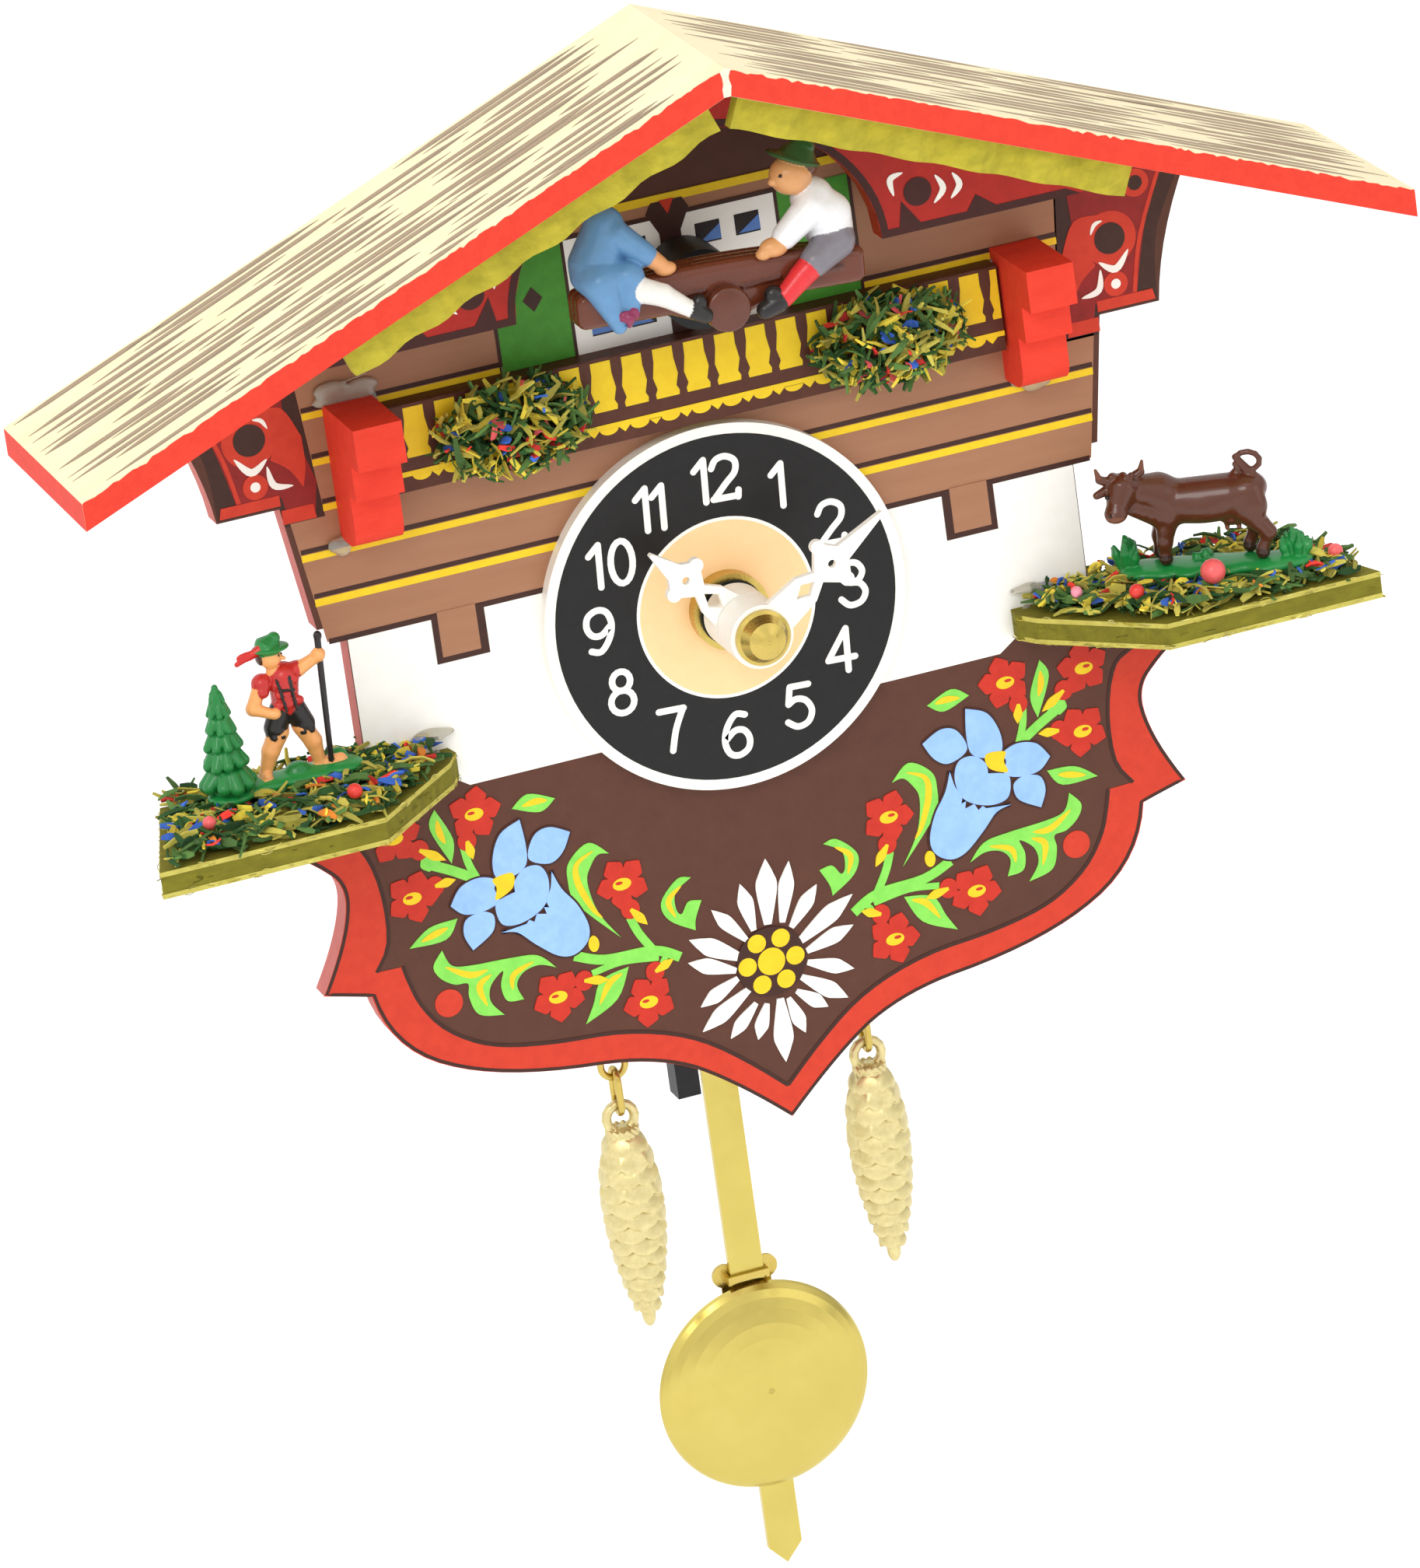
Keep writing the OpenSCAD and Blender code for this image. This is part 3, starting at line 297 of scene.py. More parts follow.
class Studio:
    """The floor, lights and camera around the clock."""

    EYE = Vector((-0.30966, -1.0497, 0.32836))
    TURN = math.radians(16.73)
    DROP = math.radians(20.42)
    ROLL = math.radians(7.98)
    LENS = 223.26
    FLOOR_Z = -0.30
    AIM = Vector((0.0, -0.03, -0.06))
    BRIGHT_SIDE = (-0.42, -0.2, 0.88)
    GLOW = {"From Min": -0.7, "From Max": 0.9, "To Min": 0.45, "To Max": 1.35}

    def build(self) -> None:
        """Make the floor, lights, world and camera."""
        self._floor()
        self._world()
        self._light("key", (-0.55, -0.85, 0.75), 0.55, 3.6)
        self._light("fill", (0.75, -0.9, 0.25), 0.8, 1.0)
        self._light("top", (0.0, -0.25, 0.95), 0.7, 1.2)
        self._camera()

    def _floor(self) -> None:
        bpy.ops.mesh.primitive_plane_add(size=12.0, location=(0.0, 2.0, self.FLOOR_Z))
        floor = bpy.context.object
        floor.name = "studio_floor"
        floor.data.materials.append(FLOOR.material())

    def _world(self) -> None:
        world = bpy.data.worlds.new("studio")
        bpy.context.scene.world = world
        world.use_nodes = True
        sky = world.node_tree.nodes["Background"]
        sky.inputs["Color"].default_value = (1.0, 1.0, 1.0, 1.0)
        tree = world.node_tree
        view = tree.nodes.new("ShaderNodeTexCoord")
        facing = tree.nodes.new("ShaderNodeVectorMath")
        facing.operation = "DOT_PRODUCT"
        facing.inputs[1].default_value = self.BRIGHT_SIDE
        tree.links.new(view.outputs["Generated"], facing.inputs[0])
        glow = tree.nodes.new("ShaderNodeMapRange")
        for socket, value in self.GLOW.items():
            glow.inputs[socket].default_value = value
        tree.links.new(facing.outputs["Value"], glow.inputs["Value"])
        tree.links.new(glow.outputs["Result"], sky.inputs["Strength"])

    def _light(self, name: str, place: Place, size: float, power: float) -> None:
        lamp = bpy.data.lights.new(name, "AREA")
        lamp.shape = "DISK"
        lamp.size = size
        lamp.energy = power
        holder = bpy.data.objects.new(name, lamp)
        bpy.context.scene.collection.objects.link(holder)
        holder.location = place
        aim = self.AIM - Vector(place)
        holder.rotation_euler = aim.to_track_quat("-Z", "Y").to_euler()

    def _camera(self) -> None:
        ahead = Vector((math.sin(self.TURN) * math.cos(self.DROP),
                        math.cos(self.TURN) * math.cos(self.DROP), -math.sin(self.DROP)))
        flat_right = Vector((math.cos(self.TURN), -math.sin(self.TURN), 0.0))
        flat_up = flat_right.cross(ahead)
        right = flat_right * math.cos(self.ROLL) - flat_up * math.sin(self.ROLL)
        up = flat_right * math.sin(self.ROLL) + flat_up * math.cos(self.ROLL)
        lens = bpy.data.cameras.new("camera")
        lens.lens = self.LENS
        lens.sensor_width = 36.0
        lens.sensor_fit = "AUTO"
        lens.clip_start = 0.05
        camera = bpy.data.objects.new("camera", lens)
        bpy.context.scene.collection.objects.link(camera)
        turned = Matrix((right, up, -ahead)).transposed().to_4x4()
        turned.translation = self.EYE
        camera.matrix_world = turned
        bpy.context.scene.camera = camera
        bpy.context.scene.view_settings.view_transform = "Standard"


BEND_STEPS = 8
APRON_STEPS = 3
# Shapes of one ink lie at slightly different depths, so that no two faces fall in one plane.
LAYERS = 9
LAYER_SHARE = 0.09


def smooth(points: Sequence[Point], steps: int = 5, closed: bool = False) -> list[Point]:
    """Draw a Catmull-Rom curve through points.

    Args:
        points: The points that the curve passes.
        steps: How many pieces lie between two points.
        closed: Whether the curve comes back to its start.

    Returns:
        The curve's points; an open curve keeps its last point.
    """
    if len(points) < 3 and not closed:
        return list(points)
    count = len(points)
    spans = count if closed else count - 1
    out: list[Point] = []
    for i in range(spans):
        if closed:
            a, b, c, d = (points[(i + k - 1) % count] for k in range(4))
        else:
            a, b, c, d = (points[min(max(i + k - 1, 0), count - 1)] for k in range(4))
        for s in range(steps):
            t = s / steps
            out.append(tuple(
                0.5 * (2 * b[k] + (c[k] - a[k]) * t + (2 * a[k] - 5 * b[k] + 4 * c[k] - d[k]) * t * t
                       + (3 * b[k] - a[k] - 3 * c[k] + d[k]) * t ** 3) for k in range(len(b))))
    if not closed:
        out.append(tuple(points[-1]))
    return out


def runs(*parts: Sequence[Point]) -> list[Point]:
    """Join smooth runs into one outline with a corner wherever two runs meet.

    Args:
        parts: Runs of points; each begins where the one before it ends.

    Returns:
        The closed outline.
    """
    out: list[Point] = []
    for part in parts:
        out.extend(smooth(part)[:-1])
    return out


def bend(p: Point, q: Point, r: Point) -> list[Point]:
    """Give the points after p of a quadratic curve to r that leans towards q."""
    steps = [(k + 1) / BEND_STEPS for k in range(BEND_STEPS)]
    return [tuple((1 - t) ** 2 * p[i] + 2 * t * (1 - t) * q[i] + t * t * r[i] for i in (0, 1)) for t in steps]


def flipped(points: Iterable[Point]) -> list[Point]:
    """Mirror an outline from one side of the clock to the other."""
    return [(-x, z) for x, z in reversed(list(points))]


def ring(x: float, z: float, rx: float, rz: float | None = None, sides: int = 28) -> list[Point]:
    """Give the outline of a circle or an ellipse."""
    rz = rx if rz is None else rz
    turns = [2 * math.pi * k / sides for k in range(sides)]
    return [(x + rx * math.cos(t), z + rz * math.sin(t)) for t in turns]


def petal(root: Point, tip: Point, half: float, widest: float = 0.55) -> list[Point]:
    """Give a pointed petal or blade from its root to its tip.

    Args:
        root: Where it grows from.
        tip: Its point.
        half: Half of its greatest width.
        widest: How far along it is widest, 0 to 1.

    Returns:
        The outline.
    """
    dx, dz = tip[0] - root[0], tip[1] - root[1]
    far = math.hypot(dx, dz) or 1.0
    nx, nz = -dz / far, dx / far

    def side(share: float, out: float) -> Point:
        return root[0] + dx * share + nx * out, root[1] + dz * share + nz * out

    left = [side(0, 0.35 * half), side(widest, half), side((1 + widest) / 2, 0.68 * half), tip]
    right = [tip, side((1 + widest) / 2, -0.68 * half), side(widest, -half), side(0, -0.35 * half)]
    return runs(left, right, [right[-1], left[0]])


def ribbon(points: Sequence[Point], half_at: Callable[[int], float]) -> list[Point]:
    """Give the outline of a line with width.

    Args:
        points: The line's middle.
        half_at: Gives half of the width at each point from the point's number.

    Returns:
        The closed outline.
    """
    last = len(points) - 1
    left: list[Point] = []
    right: list[Point] = []
    for i, (x, z) in enumerate(points):
        ax, az = points[max(i - 1, 0)]
        bx, bz = points[min(i + 1, last)]
        far = math.hypot(bx - ax, bz - az) or 1.0
        nx = -(bz - az) / far * half_at(i)
        nz = (bx - ax) / far * half_at(i)
        left.append((x + nx, z + nz))
        right.append((x - nx, z - nz))
    return left + right[::-1]


def stroke(points: Sequence[Point], width: float) -> list[Point]:
    """Give the outline of a line with one width all along."""
    return ribbon(points, lambda i: 0.5 * width)


def crescent(points: Sequence[Point], width: float) -> list[Point]:
    """Give a curved sliver through points, widest in the middle and pointed at both ends."""
    line = smooth(points, 6)
    last = len(line) - 1
    return ribbon(line, lambda i: 0.5 * width * (0.1 + 0.9 * math.sin(math.pi * i / last)))


@dataclass
class Shape:
    """A mesh piece that is gathered from simple parts, in millimetres on the clock's face.

    Attributes:
        name: The piece's name.
        finish: Its finish.
        body: The CAD body that it rides on.
        slot: Not used.
    """

    name: str
    finish: Finish
    body: str = "house"
    slot: str = "printed_board"
    verts: list[Place] = field(default_factory=list)
    faces: list[tuple[int, ...]] = field(default_factory=list)
    paints: list[Colour] = field(default_factory=list)

    def add(self, verts: Iterable[Place], faces: Iterable[Sequence[int]],
            paint: Colour | None = None) -> None:
        """Add vertices, and faces that count from the first of them."""
        start = len(self.verts)
        fresh = list(verts)
        self.verts.extend(fresh)
        self.faces.extend(tuple(i + start for i in f) for f in faces)
        if self.finish.painted:
            self.paints.extend([paint or self.finish.colour] * len(fresh))

    def slab(self, outline: Sequence[Point], front: float, back: float) -> None:
        """Add a flat piece with this outline, seen from the front."""
        count = len(outline)
        area = sum(outline[i - 1][0] * outline[i][1] - outline[i][0] * outline[i - 1][1]
                   for i in range(count))
        line = list(outline) if area > 0 else list(outline)[::-1]
        verts = [(x, front, z) for x, z in line] + [(x, back, z) for x, z in line]
        faces: list[Sequence[int]] = [range(count), range(2 * count - 1, count - 1, -1)]
        faces += [(i, i + count, (i + 1) % count + count, (i + 1) % count) for i in range(count)]
        self.add(verts, faces)

    def build(self, level: bool = True, bevel: float = 0.0) -> bpy.types.Object:
        """Make the Blender object, dress it and tie it to its body.

        Args:
            level: Whether faces stay flat-shaded.
            bevel: Width of softened edges in millimetres.

        Returns:
            The new object.
        """
        mesh = bpy.data.meshes.new(self.name)
        mesh.from_pydata([at(*v) for v in self.verts], [], self.faces)
        if self.finish.painted:
            layer = mesh.attributes.new("paint", "FLOAT_COLOR", "POINT")
            layer.data.foreach_set("color", [c for paint in self.paints for c in linear(paint)])
        mesh.materials.append(self.finish.material())
        mesh.polygons.foreach_set("use_smooth", [not level] * len(mesh.polygons))
        mesh.validate()
        piece = bpy.data.objects.new(self.name, mesh)
        bpy.context.scene.collection.objects.link(piece)
        if bevel:
            soften = piece.modifiers.new("Softened", "BEVEL")
            soften.width = bevel * MM
            soften.segments = 2
            soften.limit_method = "ANGLE"
        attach(piece, self.body)
        return piece


@dataclass
class Artwork:
    """Printed shapes on one flat surface, gathered into one piece for each colour.

    Attributes:
        name: The first part of the pieces' names.
        surface: Where the surface is, in millimetres behind the plate's front.
        body: The CAD body that the surface belongs to.
        slot: The record's material slot.
        inks: The piece of each colour, by the finish's name.
        count: How many shapes are printed so far.
    """

    name: str
    surface: float
    body: str = "house"
    slot: str = "printed_board"
    inks: dict[str, Shape] = field(default_factory=dict)
    count: int = 0

    def put(self, finish: Finish, level: int, *outlines: Sequence[Point], both: bool = False) -> None:
        """Print outlines in one colour.

        Args:
            finish: The ink.
            level: The order of printing; a higher level lies on top.
            outlines: The shapes.
            both: Whether each is also printed mirrored on the other side.
        """
        shape = self.inks.get(finish.name)
        if shape is None:
            shape = Shape(f"{self.name}_{finish.name}", finish, self.body, self.slot)
            self.inks[finish.name] = shape
        for outline in outlines:
            for line in (outline, flipped(outline)) if both else (outline,):
                self.count += 1
                front = self.surface - FILM * (level + LAYER_SHARE * (self.count % LAYERS))
                shape.slab(line, front, self.surface)

    def build(self) -> None:
        """Make every colour's piece."""
        for shape in self.inks.values():
            shape.build()


@dataclass(frozen=True)
class Lump:
    """One part of a modelled figure: a tapered limb or an ellipsoid."""

    start: Place
    end: Place
    first: float
    last: float
    radii: Place | None
    paint: Colour
    soften: float
    axes: tuple[Vector, Vector, Vector] | None = None

    def reach(self) -> tuple[np.ndarray, np.ndarray]:
        """Give the corners of the box that holds the lump."""
        grow = np.array(self.radii) if self.radii else np.full(3, max(self.first, self.last))
        if self.axes:
            grow = np.full(3, grow.max())
        return np.minimum(self.start, self.end) - grow, np.maximum(self.start, self.end) + grow

    def distance(self, x: np.ndarray, y: np.ndarray, z: np.ndarray) -> np.ndarray:
        """Give the signed distance of places from the lump's surface."""
        sx, sy, sz = self.start
        if self.radii:
            rx, ry, rz = self.radii
            if self.axes:
                dx, dy, dz = x - sx, y - sy, z - sz
                x, y, z = (dx * a.x + dy * a.y + dz * a.z for a in self.axes)
                sx = sy = sz = 0.0
            near = np.sqrt(((x - sx) / rx) ** 2 + ((y - sy) / ry) ** 2 + ((z - sz) / rz) ** 2) + 1e-9
            slope = np.sqrt(((x - sx) / rx ** 2) ** 2 + ((y - sy) / ry ** 2) ** 2
                            + ((z - sz) / rz ** 2) ** 2) + 1e-9
            return near * (near - 1.0) / slope
        dx, dy, dz = (e - s for s, e in zip(self.start, self.end))
        span = dx * dx + dy * dy + dz * dz + 1e-9
        t = np.clip(((x - sx) * dx + (y - sy) * dy + (z - sz) * dz) / span, 0.0, 1.0)
        gap = np.sqrt((x - sx - t * dx) ** 2 + (y - sy - t * dy) ** 2 + (z - sz - t * dz) ** 2)
        return gap - (self.first + (self.last - self.first) * t)


@dataclass
class Clay:
    """A small moulded figure: lumps melted together into one skin, with hand-painted colours.

    Attributes:
        name: The piece's name.
        finish: Its finish.
        body: The CAD body that it rides on.
        slot: The record's material slot.
        origin: Where the figure's own zero lies on the clock's face.
        turn: Turn about the vertical in degrees.
        lean: Turn about the Y axis in degrees.
        grid: The size of the skin's cells in millimetres.
    """

    name: str
    finish: Finish
    body: str = "house"
    slot: str = "painted_figure"
    origin: Place = (0.0, 0.0, 0.0)
    turn: float = 0.0
    lean: float = 0.0
    grid: float = 0.18
    lumps: list[Lump] = field(default_factory=list)

    def limb(self, start: Place, end: Place, first: float, last: float, paint: Colour,
             soften: float = 0.25) -> None:
        """Add a rounded, tapered limb."""
        self.lumps.append(Lump(start, end, first, last, None, paint, soften))

    def ball(self, centre: Place, radii: Place | float, paint: Colour, soften: float = 0.25) -> None:
        """Add a ball or an ellipsoid."""
        size = (radii,) * 3 if isinstance(radii, (int, float)) else radii
        self.lumps.append(Lump(centre, centre, 0.0, 0.0, size, paint, soften))

    def plate(self, centre: Place, radii: Place, axes: tuple[Vector, Vector, Vector], paint: Colour,
              soften: float = 0.1) -> None:
        """Add an ellipsoid that lies along three axes of its own."""
        self.lumps.append(Lump(centre, centre, 0.0, 0.0, radii, paint, soften, axes))

    def _volume(self) -> tuple[np.ndarray, np.ndarray]:
        low = np.min([lump.reach()[0] for lump in self.lumps], axis=0) - 3 * self.grid
        high = np.max([lump.reach()[1] for lump in self.lumps], axis=0) + 3 * self.grid
        counts = np.ceil((high - low) / self.grid).astype(int) + 1
        volume = np.full(counts, 9.0)
        for lump in self.lumps:
            near, far = lump.reach()
            margin = 3 * self.grid + lump.soften
            first = np.maximum(((near - margin - low) / self.grid).astype(int), 0)
            last = np.minimum(np.ceil((far + margin - low) / self.grid).astype(int) + 1, counts)
            lines = [low[k] + self.grid * np.arange(first[k], last[k]) for k in range(3)]
            gap = lump.distance(lines[0][:, None, None], lines[1][None, :, None], lines[2][None, None, :])
            part = volume[first[0]:last[0], first[1]:last[1], first[2]:last[2]]
            soft = max(lump.soften, 1e-6)
            share = np.clip(0.5 + 0.5 * (part - gap) / soft, 0.0, 1.0)
            part[...] = part * (1 - share) + gap * share - soft * share * (1 - share)
        return volume, low

    def _skin(self) -> tuple[np.ndarray, np.ndarray]:
        volume, low = self._volume()
        inside = volume < 0
        cells = tuple(n - 1 for n in volume.shape)
        hits = np.zeros(cells)
        place = np.zeros(cells + (3,))
        halves = (slice(0, -1), slice(1, None))
        for axis in range(3):
            others = [k for k in range(3) if k != axis]
            for u in (0, 1):
                for v in (0, 1):
                    pick = [halves[0]] * 3
                    pick[others[0]], pick[others[1]] = halves[u], halves[v]
                    start = volume[tuple(pick)]
                    pick[axis] = halves[1]
                    end = volume[tuple(pick)]
                    cross = (start < 0) != (end < 0)
                    gap = np.where(cross, start - end, 1.0)
                    hits += cross
                    place[..., axis] += np.where(cross, start / gap, 0.0)
                    place[..., others[0]] += cross * u
                    place[..., others[1]] += cross * v
        active = hits > 0
        index = np.full(cells, -1)
        index[active] = np.arange(active.sum())
        verts = (np.argwhere(active) + place[active] / hits[active][:, None]) * self.grid + low
        quads = []
        for axis in range(3):
            one, two = (axis + 1) % 3, (axis + 2) % 3
            pick = [slice(None)] * 3
            pick[axis] = halves[0]
            start = inside[tuple(pick)]
            pick[axis] = halves[1]
            end = inside[tuple(pick)]
            spots = np.argwhere(start != end)
            leaving = start[tuple(spots.T)]
            corners = []
            for a, b in ((0, 0), (1, 0), (1, 1), (0, 1)):
                cell = spots.copy()
                cell[:, one] -= a
                cell[:, two] -= b
                corners.append(index[tuple(cell.T)])
            quad = np.stack(corners, axis=1)
            quad[leaving] = quad[leaving][:, ::-1]
            quads.append(quad[:, ::-1])
        return verts, np.concatenate(quads)

    def build(self) -> bpy.types.Object:
        """Make the figure's skin with its paint.

        Returns:
            The new object.
        """
        verts, quads = self._skin()
        gaps = np.stack([lump.distance(verts[:, 0], verts[:, 1], verts[:, 2]) for lump in self.lumps])
        nearest = np.argmin(gaps, axis=0)
        tints = [lump.paint for lump in self.lumps]
        lean = Matrix.Rotation(math.radians(self.lean), 3, "Y")
        spin = Matrix.Rotation(math.radians(self.turn), 3, "Z")
        moved = verts @ np.array(lean @ spin).T + np.array(self.origin)
        shape = Shape(self.name, self.finish, self.body, self.slot)
        shape.verts = [tuple(v) for v in moved.tolist()]
        shape.faces = [tuple(q) for q in quads.tolist()]
        shape.paints = [tints[k] for k in nearest.tolist()]
        return shape.build(level=False)


@dataclass
class Shavings:
    """A heap of dyed wood slivers, or a coat of fuzz."""

    name: str
    body: str = "house"
    slot: str = "wood_chips"
    seed: int = 1
    shape: Shape = field(init=False)
    dice: random.Random = field(init=False)

    def __post_init__(self) -> None:
        self.shape = Shape(self.name, CHIPS, self.body, self.slot)
        self.dice = random.Random(self.seed)

    def sliver(self, centre: Place, along: Vector, length: float, width: float, thick: float,
               paint: Colour) -> None:
        """Add one bent sliver.

        Args:
            centre: Its middle.
            along: The way that it points.
            length: Its length.
            width: Its width.
            thick: Its thickness.
            paint: Its colour.
        """
        along = along.normalized()
        across = along.cross(Vector([self.dice.gauss(0, 1) for _ in range(3)])).normalized()
        normal = along.cross(across)
        bow = self.dice.uniform(-0.22, 0.22) * length
        twist = self.dice.uniform(-0.5, 0.5)
        verts: list[Place] = []
        for k in range(4):
            t = k / 3 - 0.5
            middle = Vector(centre) + along * (length * t) + normal * (bow * (0.25 - t * t) * 4)
            wide = width * (0.55 if k in (0, 3) else 1.0) * self.dice.uniform(0.75, 1.15)
            side = (across * math.cos(twist * t) + normal * math.sin(twist * t)) * wide / 2
            up = normal * thick / 2
            verts += [tuple(middle + side + up), tuple(middle - side + up), tuple(middle - side - up),
                      tuple(middle + side - up)]
        faces: list[Sequence[int]] = [(3, 2, 1, 0), (12, 13, 14, 15)]
        faces += [(4 * k + s, 4 * k + (s + 1) % 4, 4 * k + 4 + (s + 1) % 4, 4 * k + 4 + s)
                  for k in range(3) for s in range(4)]
        shade = self.dice.uniform(0.78, 1.16)
        self.shape.add(verts, faces, tuple(min(c * shade, 255.0) for c in paint))

    def heap(self, count: int, spot: Callable[[random.Random], Place], colours: Sequence[Colour],
             length: tuple[float, float], width: tuple[float, float], tilt: float) -> None:
        """Scatter slivers.

        Args:
            count: How many.
            spot: Gives the middle of each.
            colours: The colours to choose from.
            length: Shortest and longest.
            width: Narrowest and widest.
            tilt: How far they stand up, 0 for flat.
        """
        for _ in range(count):
            turn = self.dice.uniform(0, 2 * math.pi)
            along = Vector((math.cos(turn), math.sin(turn), self.dice.gauss(0, tilt)))
            self.sliver(spot(self.dice), along, self.dice.uniform(*length), self.dice.uniform(*width),
                        self.dice.uniform(0.1, 0.3), self.dice.choice(list(colours)))

    def build(self) -> bpy.types.Object:
        """Make the piece.

        Returns:
            The new object.
        """
        return self.shape.build()


class Facade:
    """The printed chalet front: planks, wall, ornaments, windows and the flowered apron."""

    CORNER = (64.6, 42.3)

    def build(self) -> None:
        """Print the whole front plate."""
        art = Artwork("plate", 0.0)
        # The dark brown base covers the plate; the planks stop at z 49.2, so above them this base stands in
        # as painted shade under the gable.
        art.put(BROWN, 1, self._plate())
        self._planks(art)
        self._shoulders(art)
        self._windows(art)
        self._apron(art)
        art.build()
        Flowers().build()

    def _plate(self) -> list[Point]:
        right: list[Point] = [(0.0, 68.4), self.CORNER]
        right += bend(self.CORNER, (58.9, 32.5), (57.9, 23.6))
        right += [(50.4, 23.6), (48.2, 8.4), (44.9, 8.4), (44.9, -12.52), (61.0, -12.52), (61.0, -14.52)]
        right += self._apron_edge()
        return right + flipped(right[1:-1])

    def _apron_edge(self) -> list[Point]:
        edge: list[Point] = []
        start = (61.0, -14.52)
        for lean, end in (((54.5, -17.6), (51.4, -20.8)), ((49.6, -22.4), (49.8, -25.0)),
                          ((50.2, -29.0), (54.0, -35.5)), ((51.2, -36.2), (48.4, -37.0)),
                          ((47.2, -44.5), (40.0, -48.0)), ((33.5, -51.3), (22.0, -52.4)),
                          ((15.5, -53.2), (11.0, -55.8)), ((6.5, -58.6), (0.0, -64.8))):
            edge += bend(start, lean, end)
            start = end
        return edge

    def _planks(self, art: Artwork) -> None:
        # The planks end at z 49.2; above them the dark brown base is left showing as painted shade under the
        # gable.
        art.put(PLANK, 2, [(-49.4, 21.6), (-47.2, 6.7), (47.2, 6.7), (49.4, 21.6), (45.2, 21.6),
                           (47.6, 49.2), (-47.6, 49.2), (-45.2, 21.6)])
        art.put(WHITE, 2, [(-44.8, 6.4), (-44.8, -11.0), (-40.0, -13.4), (-35.6, -12.6), (-33.0, -14.4),
                           (33.0, -14.4), (35.6, -12.6), (40.0, -13.4), (44.8, -11.0), (44.8, 6.4)])
        for low, high in ((11.15, 12.05), (16.7, 17.55), (22.2, 23.0), (27.7, 28.5), (33.3, 34.1)):
            half = 47.9 + (low - 11.0) * 0.14 if low < 21 else 45.3 + (low - 22.0) * 0.08
            art.put(YELLOW, 3, [(-half, low), (half, low), (half, high), (-half, high)])
            art.put(DARK, 3, [(-half, high + 0.1), (half, high + 0.1), (half, high + 0.65),
                              (-half, high + 0.65)])
        art.put(DARK, 3, [(-47.0, 6.4), (47.0, 6.4), (47.0, 7.05), (-47.0, 7.05)])
        art.put(DARK, 4, [(28.3, 6.9), (34.7, 6.9), (34.7, 0.9), (28.3, 0.9)], both=True)
        art.put(PLANK, 5, [(29.3, 7.1), (33.95, 7.1), (33.95, 1.6), (29.3, 1.6)], both=True)

    def _shoulders(self, art: Artwork) -> None:
        field_edge = [(-60.6, 42.8), *smooth([(-60.2, 41.6), (-57.0, 32.4), (-55.3, 25.2)]), (-50.0, 25.0),
                      (-49.5, 22.6), (-46.2, 22.6), (-45.6, 26.0), (-48.3, 35.4), (-47.6, 47.6)]
        art.put(DARK, 2, [(-57.7, 23.8), *smooth([(-57.7, 23.8), (-58.7, 32.5), (-64.2, 42.2)]),
                          (-47.4, 49.4), (-45.0, 21.3), (-50.0, 21.3), (-50.3, 23.8)], both=True)
        art.put(DEEP_RED, 3, field_edge, both=True)
        art.put(RED, 4, stroke(smooth([(-60.8, 41.8), (-56.6, 32.4), (-55.0, 25.4)]), 0.5), both=True)
        art.put(RED, 4, [(-57.5, 24.0), (-57.2, 25.3), (-50.2, 25.3), (-50.2, 24.0)], both=True)
        art.put(RED, 4, [(-50.2, 21.7), (-50.2, 23.4), (-46.4, 23.4), (-46.2, 21.7)], both=True)
        art.put(RED, 4, ring(-52.7, 32.5, 3.3), runs([(-51.6, 35.6), (-48.5, 35.4), (-46.6, 31.6)],
                                                     [(-46.6, 31.6), (-46.6, 28.2), (-47.2, 25.6)],
                                                     [(-47.2, 25.6), (-48.6, 28.0), (-50.6, 29.6)],
                                                     [(-50.6, 29.6), (-49.6, 32.6), (-51.6, 35.6)]),
                both=True)
        art.put(DARK, 5, ring(-52.7, 32.5, 1.9), both=True)
        art.put(RED, 5, ring(-52.8, 26.9, 1.5), both=True)
        art.put(WHITE, 6, ring(-52.8, 26.9, 0.6, sides=16),
                crescent([(-54.8, 30.7), (-53.0, 28.7), (-51.0, 29.9)], 0.9),
                crescent([(-52.0, 34.8), (-51.0, 34.5), (-50.4, 33.4)], 0.5),
                crescent([(-51.1, 29.0), (-50.6, 26.6), (-48.4, 26.1)], 0.8), both=True)
        art.put(RED, 4, ring(-56.6, 38.4, 1.7), both=True)
        art.put(DARK, 5, ring(-56.6, 38.4, 0.9, sides=16), both=True)

    def _windows(self, art: Artwork) -> None:
        art.put(SHUTTER, 4, [(13.0, 47.4), (22.1, 47.4), (22.1, 33.4), (13.0, 33.4)], both=True)
        art.put(DARK, 5, [(17.3, 42.7), (18.5, 41.2), (17.3, 39.7), (16.1, 41.2)],
                [(12.8, 47.4), (13.2, 47.4), (13.2, 33.4), (12.8, 33.4)],
                [(21.9, 47.4), (22.3, 47.4), (22.3, 33.4), (21.9, 33.4)], both=True)
        art.put(WHITE, 4, [(1.3, 33.4), (12.9, 33.4), (12.9, 47.4), (1.3, 47.4)], both=True)
        for low, high in ((43.1, 45.6), (35.2, 38.4)):
            for x in (3.0, 7.8):
                art.put(PANE, 5, [(x, low), (x, high), (x + 3.0, high), (x + 3.0, low)], both=True)
                art.put(SKY, 6, [(x + 0.35, low + 0.2), (x + 3.0, low + 0.2), (x + 3.0, high - 0.5)],
                        both=True)
        art.put(DARK, 6, [(-1.3, 33.4), (1.3, 33.4), (1.3, 45.4), (2.6, 47.9), (1.9, 49.2), (-1.9, 49.2),
                          (-2.6, 47.9), (-1.3, 45.4)],
                [(-13.0, 47.2), (13.0, 47.2), (13.0, 47.7), (-13.0, 47.7)])
        art.put(RED, 7, [(-0.9, 49.3), (0.0, 47.6), (0.9, 49.3)])
        art.put(YELLOW, 5, [(-23.0, 49.0), (23.0, 49.0), (23.0, 50.0), (-23.0, 50.0)])

